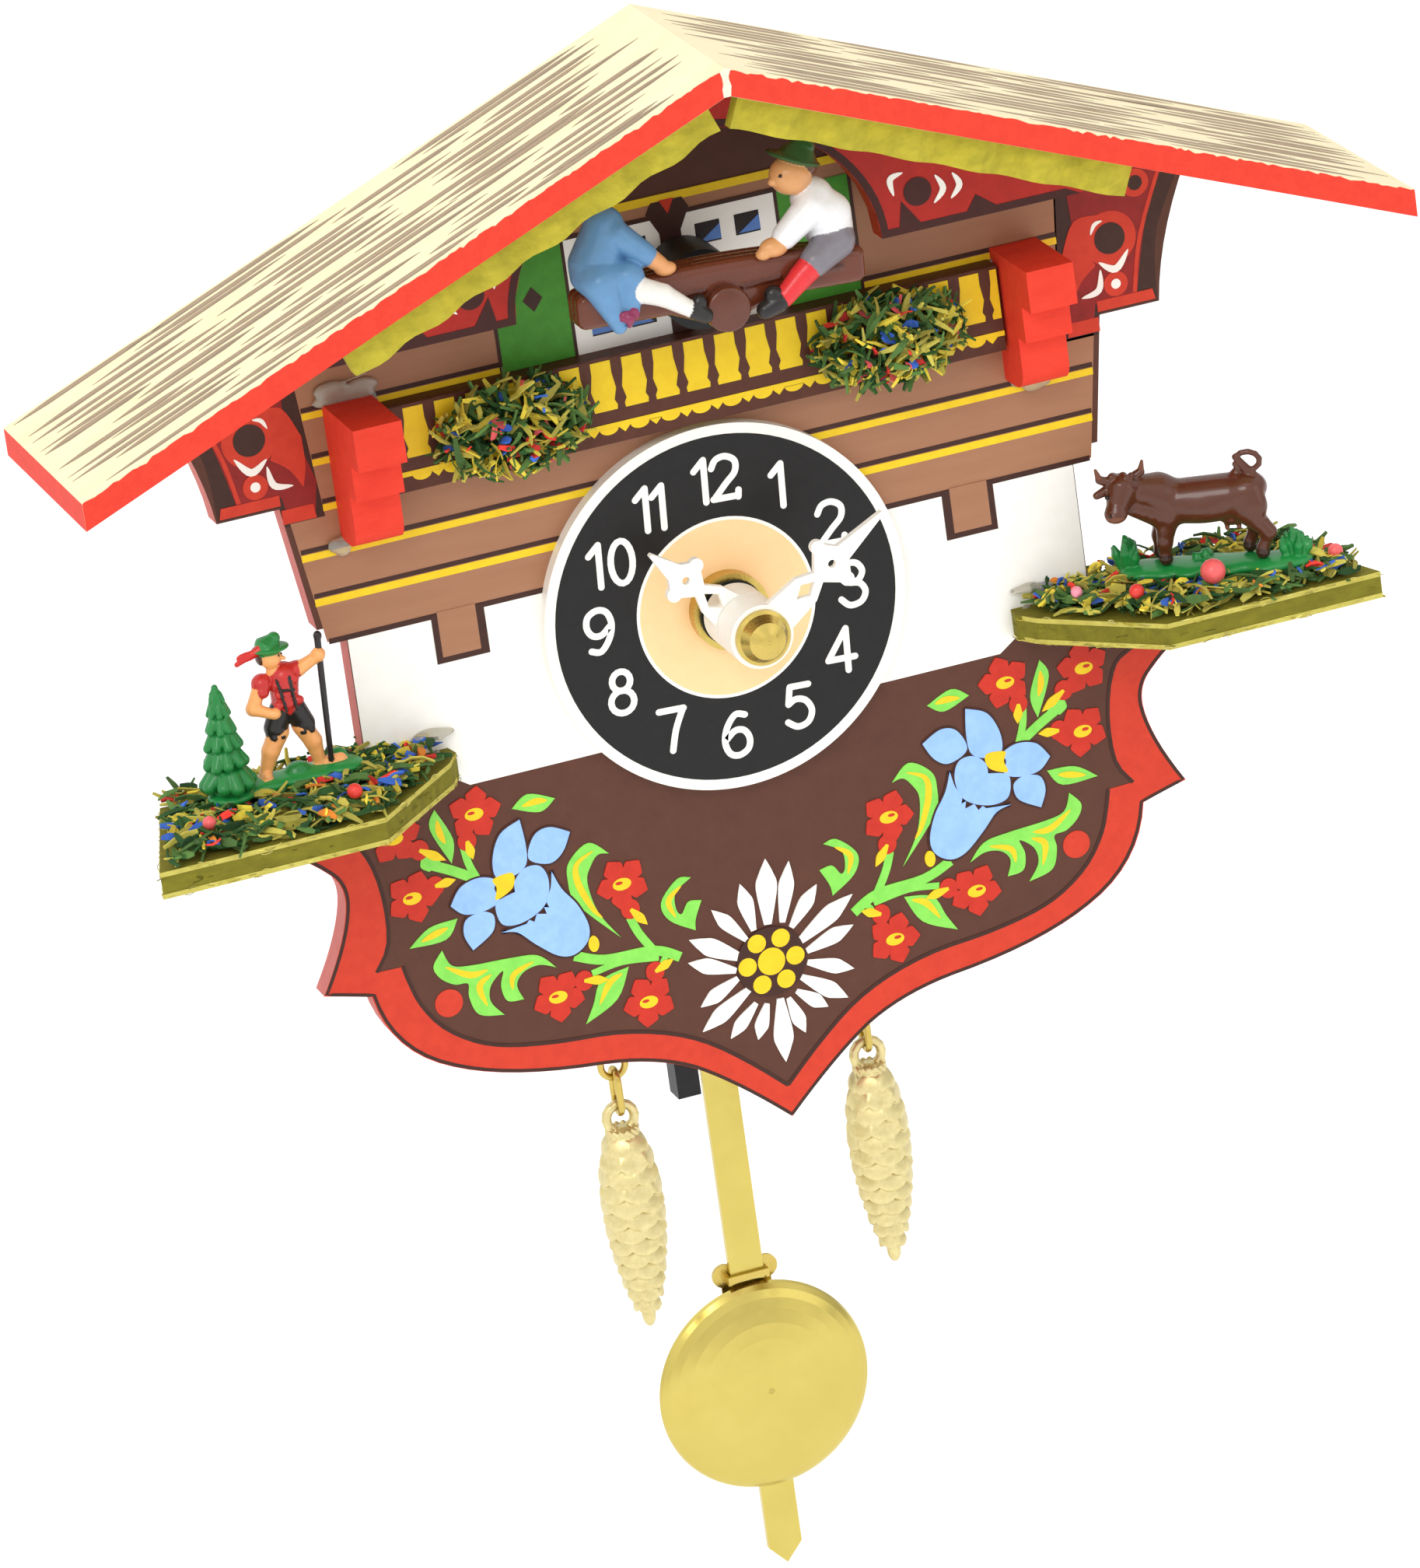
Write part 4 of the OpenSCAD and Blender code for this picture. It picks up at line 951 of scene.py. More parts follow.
    def _apron(self, art: Artwork) -> None:
        line = [(61.0, -13.4), (58.0, -14.6), (49.0, -17.7), (46.5, -20.0), (45.3, -25.2), (45.5, -31.0),
                (47.4, -34.2), (44.2, -34.3), (43.7, -36.5), (42.7, -39.5), (40.5, -42.8), (37.0, -45.5),
                (33.0, -47.1), (27.0, -48.2), (20.0, -48.9), (14.0, -50.5), (9.0, -53.0), (4.0, -57.0),
                (0.0, -60.8)]
        inner = smooth(line[:7], APRON_STEPS) + smooth(line[7:], APRON_STEPS)
        outer = [(61.0, -14.5), *self._apron_edge()]
        art.put(RED, 2, outer + inner[::-1], both=True)
        bank = APRON_STEPS * 6 + 1
        art.put(DARK, 3, stroke(inner[:bank], 0.45), stroke(inner[bank:], 0.45), both=True)
        art.put(DARK, 3, stroke([(x * 0.994, z * 0.996) for x, z in outer], 0.4), both=True)
        art.put(RED, 3, ring(-39.4, -40.1, 1.7), both=True)


class Flowers:
    """The alpine flowers printed on the apron, mirrored about its middle."""

    STALKS = (
        ([(-33.8, -26.0), (-36.6, -24.2), (-38.8, -23.0)], 1.2),
        ([(-33.8, -26.0), (-34.6, -23.8), (-34.9, -21.7)], 0.9),
        ([(-10.9, -41.6), (-14.0, -40.0), (-20.0, -39.6), (-23.6, -38.2)], 1.2),
        ([(-14.0, -40.0), (-15.5, -37.4), (-16.3, -35.2)], 1.0),
        ([(-13.5, -41.0), (-18.0, -40.4), (-21.8, -40.9)], 0.8),
        ([(-12.4, -40.9), (-13.0, -41.5), (-13.4, -42.4)], 0.7),
    )
    LEAVES = (
        ([(-37.7, -16.3), (-38.6, -18.5), (-36.6, -23.3)], [(-36.6, -23.3), (-36.0, -20.4), (-37.7, -16.3)]),
        ([(-28.5, -18.5), (-26.4, -17.2), (-23.2, -18.5)], [(-23.2, -18.5), (-25.2, -19.7), (-28.5, -18.5)]),
        ([(-43.1, -32.3), (-40.4, -30.4), (-36.9, -30.1)], [(-36.9, -30.1), (-38.6, -32.3), (-43.1, -32.3)]),
        ([(-17.7, -26.8), (-20.0, -24.9), (-22.6, -26.6), (-23.1, -28.8), (-22.4, -32.0), (-17.7, -37.4)],
         [(-17.7, -37.4), (-20.0, -33.6), (-20.8, -29.6), (-20.0, -27.6), (-19.0, -26.6), (-17.7, -26.8)]),
        ([(-8.3, -32.2), (-10.0, -32.0), (-12.3, -34.4), (-11.6, -36.8), (-8.6, -38.8)],
         [(-8.6, -38.8), (-8.4, -37.4), (-7.4, -35.3)],
         [(-7.4, -35.3), (-9.0, -35.1), (-10.0, -36.4), (-10.6, -35.6), (-10.4, -33.6), (-8.3, -32.2)]),
        ([(-39.3, -33.5), (-40.6, -35.2), (-40.0, -36.8), (-38.4, -38.0), (-36.8, -38.3), (-36.9, -40.0),
          (-36.0, -42.4), (-33.0, -43.2)],
         [(-33.0, -43.2), (-34.4, -41.2), (-34.1, -39.2), (-32.4, -37.8), (-32.9, -39.6), (-32.4, -41.6),
          (-30.4, -41.9)],
         [(-30.4, -41.9), (-31.0, -40.0), (-30.0, -38.6), (-28.0, -38.2), (-26.0, -39.0)],
         [(-26.0, -39.0), (-28.0, -37.0), (-31.2, -36.5), (-36.0, -36.2), (-38.4, -35.6), (-39.3, -33.5)]),
        ([(-23.4, -46.9), (-22.2, -44.8), (-20.8, -42.0), (-17.3, -41.2)],
         [(-17.3, -41.2), (-19.2, -44.8), (-23.4, -46.9)]),
    )
    INLAYS = (
        ([(-37.6, -17.6), (-37.5, -19.2), (-37.0, -20.7)], 0.8),
        ([(-27.3, -18.5), (-25.6, -18.3), (-24.2, -18.5)], 0.8),
        ([(-41.6, -31.8), (-39.8, -31.3), (-38.2, -30.9)], 0.8),
        ([(-19.6, -26.0), (-21.8, -27.2), (-21.9, -29.6), (-20.6, -33.0), (-19.6, -34.4)], 0.8),
        ([(-9.6, -32.9), (-11.4, -34.4), (-10.8, -36.6)], 0.7),
        ([(-39.2, -35.6), (-36.4, -37.3), (-34.2, -37.2)], 0.8),
        ([(-33.9, -37.9), (-35.5, -39.0), (-34.9, -41.6)], 0.8),
        ([(-28.6, -37.6), (-31.2, -38.6), (-31.6, -40.4)], 0.7),
        ([(-21.4, -44.9), (-19.9, -42.6), (-18.2, -41.8)], 0.8),
    )
    BLOOMS = (
        ((-33.0, -17.9), (-32.3, -14.6), (-34.4, -21.0), (-34.2, -22.2)),
        ((-42.9, -18.5), (-42.6, -15.2), (-40.2, -20.7), (-38.7, -21.7)),
        ((-41.8, -26.2), (-40.5, -23.5), (-39.0, -25.5), (-37.7, -25.4)),
        ((-16.6, -30.8), (-18.0, -27.9), (-16.1, -34.2), (-15.2, -35.4)),
        ((-26.2, -42.6), (-24.0, -39.8), (-22.9, -41.5), (-21.4, -41.8)),
        ((-15.4, -46.0), (-17.0, -42.4), (-14.2, -42.6), (-13.0, -42.1)),
    )
    GENTIAN = (
        [(-27.8, -20.0), (-30.4, -21.2), (-31.7, -24.0), (-31.5, -26.4), (-29.4, -26.6), (-27.8, -25.6),
         (-27.5, -23.2), (-27.8, -20.0)],
        [(-22.0, -23.0), (-24.4, -21.8), (-26.4, -22.4), (-27.4, -25.0), (-25.0, -26.2), (-23.2, -25.2),
         (-22.0, -23.0)],
        [(-37.5, -28.4), (-36.0, -26.4), (-33.6, -25.8), (-31.6, -26.6), (-32.0, -27.6), (-31.6, -29.2),
         (-33.6, -30.0), (-36.0, -29.8), (-37.5, -28.4)],
        [(-35.6, -34.4), (-36.4, -32.4), (-36.0, -30.6), (-34.4, -30.0), (-33.2, -30.2), (-32.5, -31.0),
         (-33.0, -32.8), (-35.6, -34.4)],
        [(-29.6, -28.6), (-29.4, -27.2), (-28.0, -26.0), (-26.2, -26.2), (-25.4, -28.0), (-25.8, -30.4),
         (-27.2, -31.8), (-29.6, -32.6), (-31.6, -32.2), (-32.2, -30.4), (-31.8, -29.2), (-29.6, -28.6)],
    )
    BELL = ([(-24.9, -27.2), (-24.0, -29.6), (-22.4, -32.0), (-21.4, -34.8), (-21.8, -36.8), (-23.6, -38.0),
             (-25.6, -37.6), (-28.0, -35.6), (-30.0, -33.6), (-31.9, -33.1)],
            [(-31.9, -33.1), (-28.8, -32.8)], [(-28.8, -32.8), (-28.4, -32.4)],
            [(-28.4, -32.4), (-27.8, -32.8)],
            [(-27.8, -32.8), (-27.4, -31.9)], [(-27.4, -31.9), (-26.2, -32.2)],
            [(-26.2, -32.2), (-26.4, -31.3)],
            [(-26.4, -31.3), (-25.8, -31.5)], [(-25.8, -31.5), (-26.0, -30.4), (-25.3, -29.2),
                                               (-24.9, -27.2)])
    RAYS = (
        ((1.0, -32.2), (0.2, -40.3), 1.3), ((-2.5, -34.5), (-1.6, -40.6), 0.95),
        ((-6.4, -36.8), (-2.6, -41.6), 0.85),
        ((-9.6, -39.8), (-3.2, -43.8), 1.1), ((-10.1, -42.6), (-4.4, -45.0), 0.95),
        ((-9.3, -48.4), (-4.3, -46.0), 0.9), ((-9.5, -51.5), (-3.0, -47.6), 1.0),
        ((-6.2, -53.2), (-2.5, -49.6), 0.8),
        ((-2.9, -54.2), (-1.2, -50.0), 0.85), ((0.1, -57.8), (0.5, -49.8), 1.2),
        ((3.8, -33.2), (2.0, -40.5), 0.95),
        ((6.8, -36.9), (3.0, -41.4), 0.9), ((11.0, -39.2), (3.6, -43.5), 1.1),
        ((10.6, -43.0), (4.5, -44.8), 0.95),
        ((10.0, -48.4), (4.4, -46.2), 0.9), ((8.8, -51.8), (3.4, -47.8), 1.0),
        ((6.2, -52.3), (2.6, -49.4), 0.85),
        ((3.0, -54.8), (1.5, -50.0), 0.85),
    )

    def build(self) -> None:
        """Print every flower."""
        art = Artwork("flowers", 0.0)
        for line, width in self.STALKS:
            art.put(GREEN, 4, stroke(smooth(line), width), both=True)
        art.put(GREEN, 4, runs([(-39.4, -23.6), (-40.3, -22.9), (-40.2, -22.0)],
                               [(-40.2, -22.0), (-38.6, -21.4)],
                               [(-38.6, -21.4), (-38.0, -22.2), (-37.9, -23.2)]), both=True)
        for leaf in self.LEAVES:
            art.put(GREEN, 4, runs(*leaf), both=True)
        for line, width in self.INLAYS:
            art.put(YELLOW, 5, crescent(line, width), both=True)
        for centre, tip, bud, spark in self.BLOOMS:
            self._bloom(art, centre, tip, bud, spark)
        for blue in self.GENTIAN:
            art.put(BLUE, 5, runs(blue), both=True)
            art.put(DARK, 4, stroke(runs(blue) + [blue[0]], 0.45), both=True)
        art.put(BLUE, 6, runs(*self.BELL), both=True)
        art.put(DARK, 5, stroke(runs(*self.BELL) + [self.BELL[0][0]], 0.5), both=True)
        art.put(YELLOW, 6,
                smooth([(-32.0, -26.4), (-29.6, -26.2), (-29.8, -28.0), (-32.0, -29.0), (-31.7, -27.6)],
                                  closed=True), ring(-21.1, -37.3, 0.65, 1.0), both=True)
        self._edelweiss(art)
        art.build()

    def _bloom(self, art: Artwork, centre: Point, tip: Point, bud: Point, spark: Point) -> None:
        aim = math.atan2(tip[1] - centre[1], tip[0] - centre[0])
        for k in range(5):
            turn = aim + k * 2 * math.pi / 5
            end = (centre[0] + 3.3 * math.cos(turn), centre[1] + 3.3 * math.sin(turn))
            art.put(PETAL, 5, petal(centre, end, 1.25, 0.6), both=True)
        art.put(PETAL, 5, ring(*centre, 1.35, sides=16), ring(*bud, 1.15, 1.25, sides=16), both=True)
        art.put(YELLOW, 6, ring(centre[0] - 0.1, centre[1] - 0.1, 1.15, 0.75, sides=16),
                petal(bud, (2 * spark[0] - bud[0], 2 * spark[1] - bud[1]), 0.55, 0.5), both=True)
        art.put(PETAL, 7, ring(centre[0] - 0.45, centre[1] + 0.1, 0.45, 0.2, sides=12), both=True)

    def _edelweiss(self, art: Artwork) -> None:
        for tip, root, half in self.RAYS:
            art.put(WHITE, 7, petal(root, tip, half))
        hub = (0.0, -44.9)
        art.put(DARK, 8, ring(*hub, 4.3))
        art.put(YELLOW, 9, ring(*hub, 1.7), *[ring(hub[0] + 3.0 * math.cos(k * math.pi / 3),
                                                   hub[1] + 3.0 * math.sin(k * math.pi / 3), 1.15, sides=16)
                                              for k in range(6)])


class Gable:
    """The red arched board under the ridge and the balcony rail below it."""

    ARCH_HALF = 22.2
    ARCH_HIGH = 17.8
    FOOT_Z = 41.7
    BOARD_FRONT = -9.2
    RAIL_FRONT = -3.02
    PITCH = 3.775

    def build(self) -> None:
        """Print both boards."""
        art = Artwork("gable", self.BOARD_FRONT, slot="red_board")
        for sign in (-1, 1):
            arch = [(sign * self.ARCH_HALF * math.cos(t), self.FOOT_Z + self.ARCH_HIGH * math.sin(t))
                    for t in np.linspace(0.0, 1.5, 18)]
            art.put(GABLE_DARK, 1, self._band(arch))
        art.put(GABLE_DARK, 1, [(22.2, 41.7), (46.6, 41.7), (44.9, 42.6), (22.6, 42.6)],
                [(24.4, 42.4), (27.2, 42.4), (25.0, 45.6)], [(32.6, 42.4), (36.6, 42.4), (34.0, 44.4)],
                both=True)
        art.put(GABLE_DARK, 2, ring(27.1, 46.3, 1.7), both=True)
        for line in ([(25.6, 48.9), (24.0, 48.4), (24.2, 46.4)], [(28.9, 44.5), (30.2, 46.0), (29.4, 47.8)],
                     [(31.0, 44.6), (32.2, 46.0), (31.5, 47.6)]):
            art.put(WHITE, 3, crescent(line, 0.75), both=True)
        art.build()
        self._rail()

    def _band(self, arch: Sequence[Point]) -> list[Point]:
        outer = [(x * 1.04, self.FOOT_Z + (z - self.FOOT_Z) * 1.05) for x, z in arch]
        return list(arch) + outer[::-1]

    def _rail(self) -> None:
        art = Artwork("balcony", self.RAIL_FRONT, slot="yellow_board")
        art.put(YELLOW, 1, [(-37.4, 27.05), (37.4, 27.05), (37.4, 33.0), (-37.4, 33.0)])
        art.put(YELLOW, 2, [(-37.5, 24.9), (37.5, 24.9), (37.5, 25.5), (-37.5, 25.5)])
        gap = [(0.67, 33.3), (0.67, 31.5), (0.36, 29.6), (0.72, 28.2), (0.42, 27.6), (0.5, 27.0)]
        for k in range(-10, 10):
            x = self.PITCH * (k + 0.5)
            if abs(x) > 37.0:
                continue
            art.put(RAIL, 2, [(x + dx, z) for dx, z in gap] + [(x - dx, z) for dx, z in reversed(gap)])
        for k in range(-9, 10):
            x = self.PITCH * k
            art.put(YELLOW, 2, [(x + 1.15 * math.cos(t), 24.95 + 0.75 * math.sin(t))
                                for t in np.linspace(math.pi, 2 * math.pi, 11)],
                    [(x + 1.15, 24.95), (x + 1.9, 24.2), (x + 2.65, 24.95)])
        art.build()


class Roof:
    """The streaks and sponged red edges of the two roof boards."""

    THICK = 3.3
    DEEP = PLATE_BACK - ROOF_FRONT

    def build(self) -> None:
        """Paint both boards."""
        dice = random.Random(11)
        streaks = Shape("roof_streaks", TAUPE, slot="cream_roof")
        edges = Shape("roof_red_edges", ROOF_RED, slot="cream_roof")
        length = ROOF_HALF / math.cos(ROOF_ANGLE)
        for side in (-1, 1):
            rows = 17
            for row in range(rows):
                y = ROOF_FRONT + 1.4 + (self.DEEP - 2.6) * row / (rows - 1)
                s = dice.uniform(1.0, 12.0)
                while s < length - 9.0:
                    long = dice.uniform(13.0, 30.0)
                    self._streak(streaks, dice, side, min(s, length - long - 1.0),
                                 y + dice.uniform(-0.4, 0.4), long)
                    s += long * dice.uniform(0.9, 1.25) + dice.uniform(0.5, 7.0)
            self._red_edge(edges, dice, side)
        streaks.build(level=False)
        edges.build()
        self._mitre()

    def _on(self, side: int, s: float, y: float, lift: float = 0.0) -> Place:
        return (side * (s * math.cos(ROOF_ANGLE) + lift * math.sin(ROOF_ANGLE)), y,
                RIDGE_Z - s * math.sin(ROOF_ANGLE) + lift * math.cos(ROOF_ANGLE))

    def _streak(self, shape: Shape, dice: random.Random, side: int, s: float, y: float, long: float) -> None:
        half = dice.uniform(0.46, 0.64)
        bow = dice.uniform(-0.15, 0.15)
        count = 9
        spine = [(s + long * k / count, y + bow * math.sin(math.pi * k / count)) for k in range(count + 1)]
        wide = [half * min(1.0, 1.7 * math.sin(math.pi * k / count)) + 0.02 for k in range(count + 1)]
        top = [self._on(side, a, b - w, 0.03) for (a, b), w in zip(spine, wide)]
        top += [self._on(side, a, b + w, 0.03) for (a, b), w in reversed(list(zip(spine, wide)))]
        low = [self._on(side, a, b - w, -0.05) for (a, b), w in zip(spine, wide)]
        low += [self._on(side, a, b + w, -0.05) for (a, b), w in reversed(list(zip(spine, wide)))]
        n = len(top)
        order = range(n) if side > 0 else range(n - 1, -1, -1)
        back = range(2 * n - 1, n - 1, -1) if side > 0 else range(n, 2 * n)
        shape.add(top + low, [list(order), list(back)] + [(i, i + n, (i + 1) % n + n, (i + 1) % n)
                                                          for i in range(n)])

    def _red_edge(self, shape: Shape, dice: random.Random, side: int) -> None:
        length = ROOF_HALF / math.cos(ROOF_ANGLE)
        drop = self.THICK
        top: list[Point] = []
        s = 0.5
        while s < length:
            x, _, z = self._on(side, s, 0.0)
            top.append((x, z - max(0.02, dice.gauss(0.12, 0.1))))
            s += dice.uniform(0.35, 0.9)
        eave = (side * ROOF_HALF, RIDGE_Z - ROOF_HALF * math.tan(ROOF_ANGLE))
        outline = [(side * 0.35, RIDGE_Z - drop - 0.1), *top, (eave[0], eave[1] - 0.2),
                   (eave[0], eave[1] - drop)]
        shape.slab(outline, ROOF_FRONT - 0.05, ROOF_FRONT)
        end = Vector((eave[0], 0.0, eave[1]))
        rim = [(-28.9, -0.15), (3.1, -0.15), (3.1, -drop + 0.05), (-28.9, -drop + 0.05)]
        near = [(end.x, y, end.z + z) for y, z in rim]
        far = [(end.x + side * 0.05, y, end.z + z) for y, z in rim]
        shape.add(near + far, [(4, 5, 6, 7), (3, 2, 1, 0)] + [(i, (i + 1) % 4, (i + 1) % 4 + 4, i + 4)
                                                              for i in range(4)])

    def _mitre(self) -> None:
        seam = Shape("roof_mitre", CHIPPED, slot="cream_roof")
        seam.slab([(-0.5, 68.4), (0.35, 68.4), (0.55, 69.6), (0.3, 70.6), (0.7, 71.5), (0.0, 71.75),
                   (-0.6, 71.4),
                   (-0.3, 70.2), (-0.55, 69.3)], ROOF_FRONT - 0.09, ROOF_FRONT)
        seam.build()


class Dial:
    """The round clock face: black ring, white ring, peach centre and twelve numerals."""

    FRONT = -1.82
    TURN = math.radians(3.0)
    STROKE = 0.78
    HIGH = 5.9
    DIGITS = {
        "1": ([(-0.3, 0.26), (0.04, 0.5)], [(0.04, 0.5), (0.04, -0.5)]),
        "2": ([(-0.42, 0.26), (-0.26, 0.45), (0.06, 0.5), (0.36, 0.36), (0.34, 0.1), (0.02, -0.14),
               (-0.4, -0.47)],
              [(-0.42, -0.47), (0.4, -0.47)], [(0.4, -0.5), (0.42, -0.34)]),
        "3": ([(-0.38, 0.34), (-0.16, 0.49), (0.16, 0.47), (0.34, 0.27), (0.2, 0.07), (-0.08, 0.03)],
              [(-0.08, 0.03), (0.24, -0.02), (0.4, -0.23), (0.24, -0.45), (-0.14, -0.5), (-0.42, -0.33)]),
        "4": ([(0.2, -0.5), (0.2, 0.5)], [(0.2, 0.5), (-0.45, -0.2)], [(-0.45, -0.2), (0.45, -0.2)]),
        "5": ([(0.36, 0.47), (-0.26, 0.47)], [(-0.26, 0.47), (-0.34, 0.06)],
              [(-0.34, 0.06), (-0.08, 0.16), (0.24, 0.09), (0.42, -0.16), (0.28, -0.42), (-0.08, -0.5),
               (-0.4, -0.36)]),
        "6": ([(0.3, 0.44), (-0.02, 0.48), (-0.32, 0.2), (-0.42, -0.14), (-0.28, -0.42), (0.02, -0.5),
               (0.33, -0.38),
               (0.4, -0.14), (0.24, 0.07), (-0.06, 0.1), (-0.36, -0.08)],),
        "7": ([(-0.4, 0.47), (0.42, 0.47)], [(0.4, 0.47), (0.12, 0.0), (-0.04, -0.5)]),
        "8": ([(0.3 * math.cos(t), 0.26 + 0.23 * math.sin(t)) for t in np.linspace(0.0, 6.283, 17)],
              [(0.38 * math.cos(t), -0.23 + 0.27 * math.sin(t)) for t in np.linspace(0.0, 6.283, 19)]),
        "0": ([(0.36 * math.cos(t), 0.5 * math.sin(t)) for t in np.linspace(0.0, 6.283, 21)],),
    }

    def build(self) -> None:
        """Print the dial."""
        art = Artwork("dial", self.FRONT, slot="dial_card")
        art.put(BLACK_INK, 1, ring(0.0, 0.0, 20.85, sides=96))
        art.put(WHITE, 2, ring(0.0, 0.0, 10.95, sides=80))
        art.put(PEACH, 3, ring(0.0, 0.0, 10.55, sides=80))
        for hour in range(1, 13):
            turn = math.radians(90 - 30 * hour) - self.TURN
            for outline in self._numeral(hour, 15.6 * math.cos(turn), 15.6 * math.sin(turn)):
                art.put(WHITE, 3, outline)
        art.build()

    def _numeral(self, hour: int, x: float, z: float) -> list[list[Point]]:
        text = str(hour)
        steps = {"10": (-1.5, 1.35), "11": (-1.0, 1.0), "12": (-1.5, 1.1)}.get(text, (0.0,))
        shapes: list[list[Point]] = []
        for digit, offset in zip(text, steps):
            paths = self.DIGITS.get(digit)
            flip = -1.0 if digit == "9" else 1.0
            for path in paths or self.DIGITS["6"]:
                places = [(x + offset + flip * px * 3.7, z + flip * pz * (self.HIGH - self.STROKE))
                          for px, pz in path]
                line = places if len(places) in (2, 17, 19, 21) else smooth(places)
                shapes += [self._turned(stroke(line, self.STROKE), (x, z))]
                for end in (line[0], line[-1]):
                    shapes.append(self._turned(ring(*end, self.STROKE * 0.5, sides=12), (x, z)))
        return shapes

    def _turned(self, outline: Iterable[Point], about: Point) -> list[Point]:
        c, s = math.cos(-self.TURN), math.sin(-self.TURN)
        return [(about[0] + (x - about[0]) * c - (z - about[1]) * s,
                 about[1] + (x - about[0]) * s + (z - about[1]) * c) for x, z in outline]


class Greenery:
    """Everything made of dyed slivers: balcony flowers, turf on the shelves and fuzz on cut wood."""

    STRAW = (190, 180, 80)
    MOSS = (85, 120, 60)
    DEEP = (45, 85, 40)
    YELLOW = (226, 204, 70)
    BLUE = (60, 105, 200)
    RED = (225, 60, 50)
    CORAL = (240, 100, 100)
    ORANGE = (236, 140, 50)
    SHELF = ((35.0, -1.0), (36.6, -5.4), (48.0, -17.0), (74.6, -17.0), (68.9, 2.6), (45.0, 2.6))

    def build(self) -> None:
        """Make all the heaps."""
        for side, name in ((-1, "left"), (1, "right")):
            self._tuft(side, name)
            self._turf(side, name)
            self._shelf_bands(side, name)
            self._edge_strips(side, name)
        self._balls()

    def _tuft(self, side: int, name: str) -> None:
        heap = Shavings(f"tuft_{name}", seed=21 + side)
        pick = (self.MOSS, self.STRAW, self.STRAW, self.MOSS, self.DEEP, self.YELLOW)

        def spot(dice: random.Random) -> Place:
            turn, far = dice.uniform(0, 2 * math.pi), math.sqrt(dice.random())
            x = side * 23.0 + 9.3 * far * math.cos(turn)
            z = 28.3 + 5.0 * far * math.sin(turn)
            return x, -3.4 - 5.2 * dice.random() * math.sqrt(max(1.0 - far * far, 0.05)), z

        def outside(dice: random.Random) -> Place:
            turn, rise = dice.uniform(0, 2 * math.pi), dice.random()
            far = math.sqrt(1.0 - rise * rise)
            return (side * 23.0 + 8.9 * far * math.cos(turn), -3.6 - 5.3 * rise,
                    28.3 + 5.0 * far * math.sin(turn))

        heap.heap(150, spot, (self.DEEP, self.MOSS), (2.0, 4.0), (0.5, 1.1), 0.8)
        heap.heap(230, outside, pick, (2.0, 5.2), (0.35, 0.8), 0.9)
        for colour, count in ((self.RED, 22), (self.BLUE, 20), (self.YELLOW, 24), (self.CORAL, 10)):
            heap.heap(count, outside, (colour,), (1.0, 2.2), (0.5, 1.1), 0.9)
        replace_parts(heap.build(), f"flowers_{name}")

    def _inside(self, x: float, y: float) -> bool:
        inside = False
        count = len(self.SHELF)
        for i in range(count):
            (ax, ay), (bx, by) = self.SHELF[i - 1], self.SHELF[i]
            if (ay > y) != (by > y) and x < (bx - ax) * (y - ay) / (by - ay) + ax:
                inside = not inside
        return inside

    def _turf(self, side: int, name: str) -> None:
        heap = Shavings(f"turf_chips_{name}", seed=31 + side)

        def spot(dice: random.Random) -> Place:
            while True:
                x, y = dice.uniform(35.0, 75.0), dice.uniform(-17.0, 2.6)
                if self._inside(x, y) and self._inside(x + 1.2, y) and self._inside(x - 1.2, y):
                    return side * x, y, -9.0 + 2.2 * dice.random()

        def top(dice: random.Random) -> Place:
            x, y, z = spot(dice)
            return x, y, -7.3 + 0.3 * (z + 8.0)

        base = (self.MOSS, self.STRAW, self.STRAW, self.DEEP, self.MOSS)
        heap.heap(360, spot, (self.DEEP, self.MOSS, self.STRAW), (1.8, 4.0), (0.6, 1.1), 0.12)
        heap.heap(430, spot, base, (2.2, 5.4), (0.3, 0.75), 0.3)
        for colour, count in ((self.YELLOW, 80), (self.BLUE, 54), (self.RED, 34), (self.ORANGE, 10)):
            heap.heap(count, top, (colour,), (1.4, 3.0), (0.6, 1.1), 0.3)
        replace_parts(heap.build(), f"turf_{name}")

    def _shelf_bands(self, side: int, name: str) -> None:
        heap = Shavings(f"shelf_fuzz_{name}", seed=41 + side, slot="olive_wood")
        outline = [(35.0, 0.0), (34.7, -2.2), (36.4, -5.0), (48.0, -17.0), (74.9, -17.0), (68.9, 3.2)]
        pale = ((200, 190, 95), (176, 164, 66), (214, 204, 120))
        dark = ((126, 120, 30), (104, 98, 24))
        for (ax, ay), (bx, by) in zip(outline, outline[1:]):
            far = math.hypot(bx - ax, by - ay)
            nx, ny = -(by - ay) / far, (bx - ax) / far
            if (nx * (55 - ax) + ny * (-7 - ay)) > 0:
                nx, ny = -nx, -ny
            for _ in range(int(far * 3)):
                t = heap.dice.random()
                level = heap.dice.choice((-9.5, -9.7, -12.3, -12.1, -12.4, -9.4,
                                          heap.dice.uniform(-12.2, -9.6)))
                banded = level > -9.9 or level < -12.0
                out = heap.dice.uniform(0.0, 0.12)
                along = Vector((side * (bx - ax), by - ay, heap.dice.gauss(0, 0.12) * far))
                heap.sliver((side * (ax + (bx - ax) * t + nx * out), ay + (by - ay) * t + ny * out,
                             level + heap.dice.gauss(0, 0.1)), along, heap.dice.uniform(0.5, 1.6),
                            heap.dice.uniform(0.06, 0.14), 0.06, heap.dice.choice(pale if banded else dark))
        heap.build()

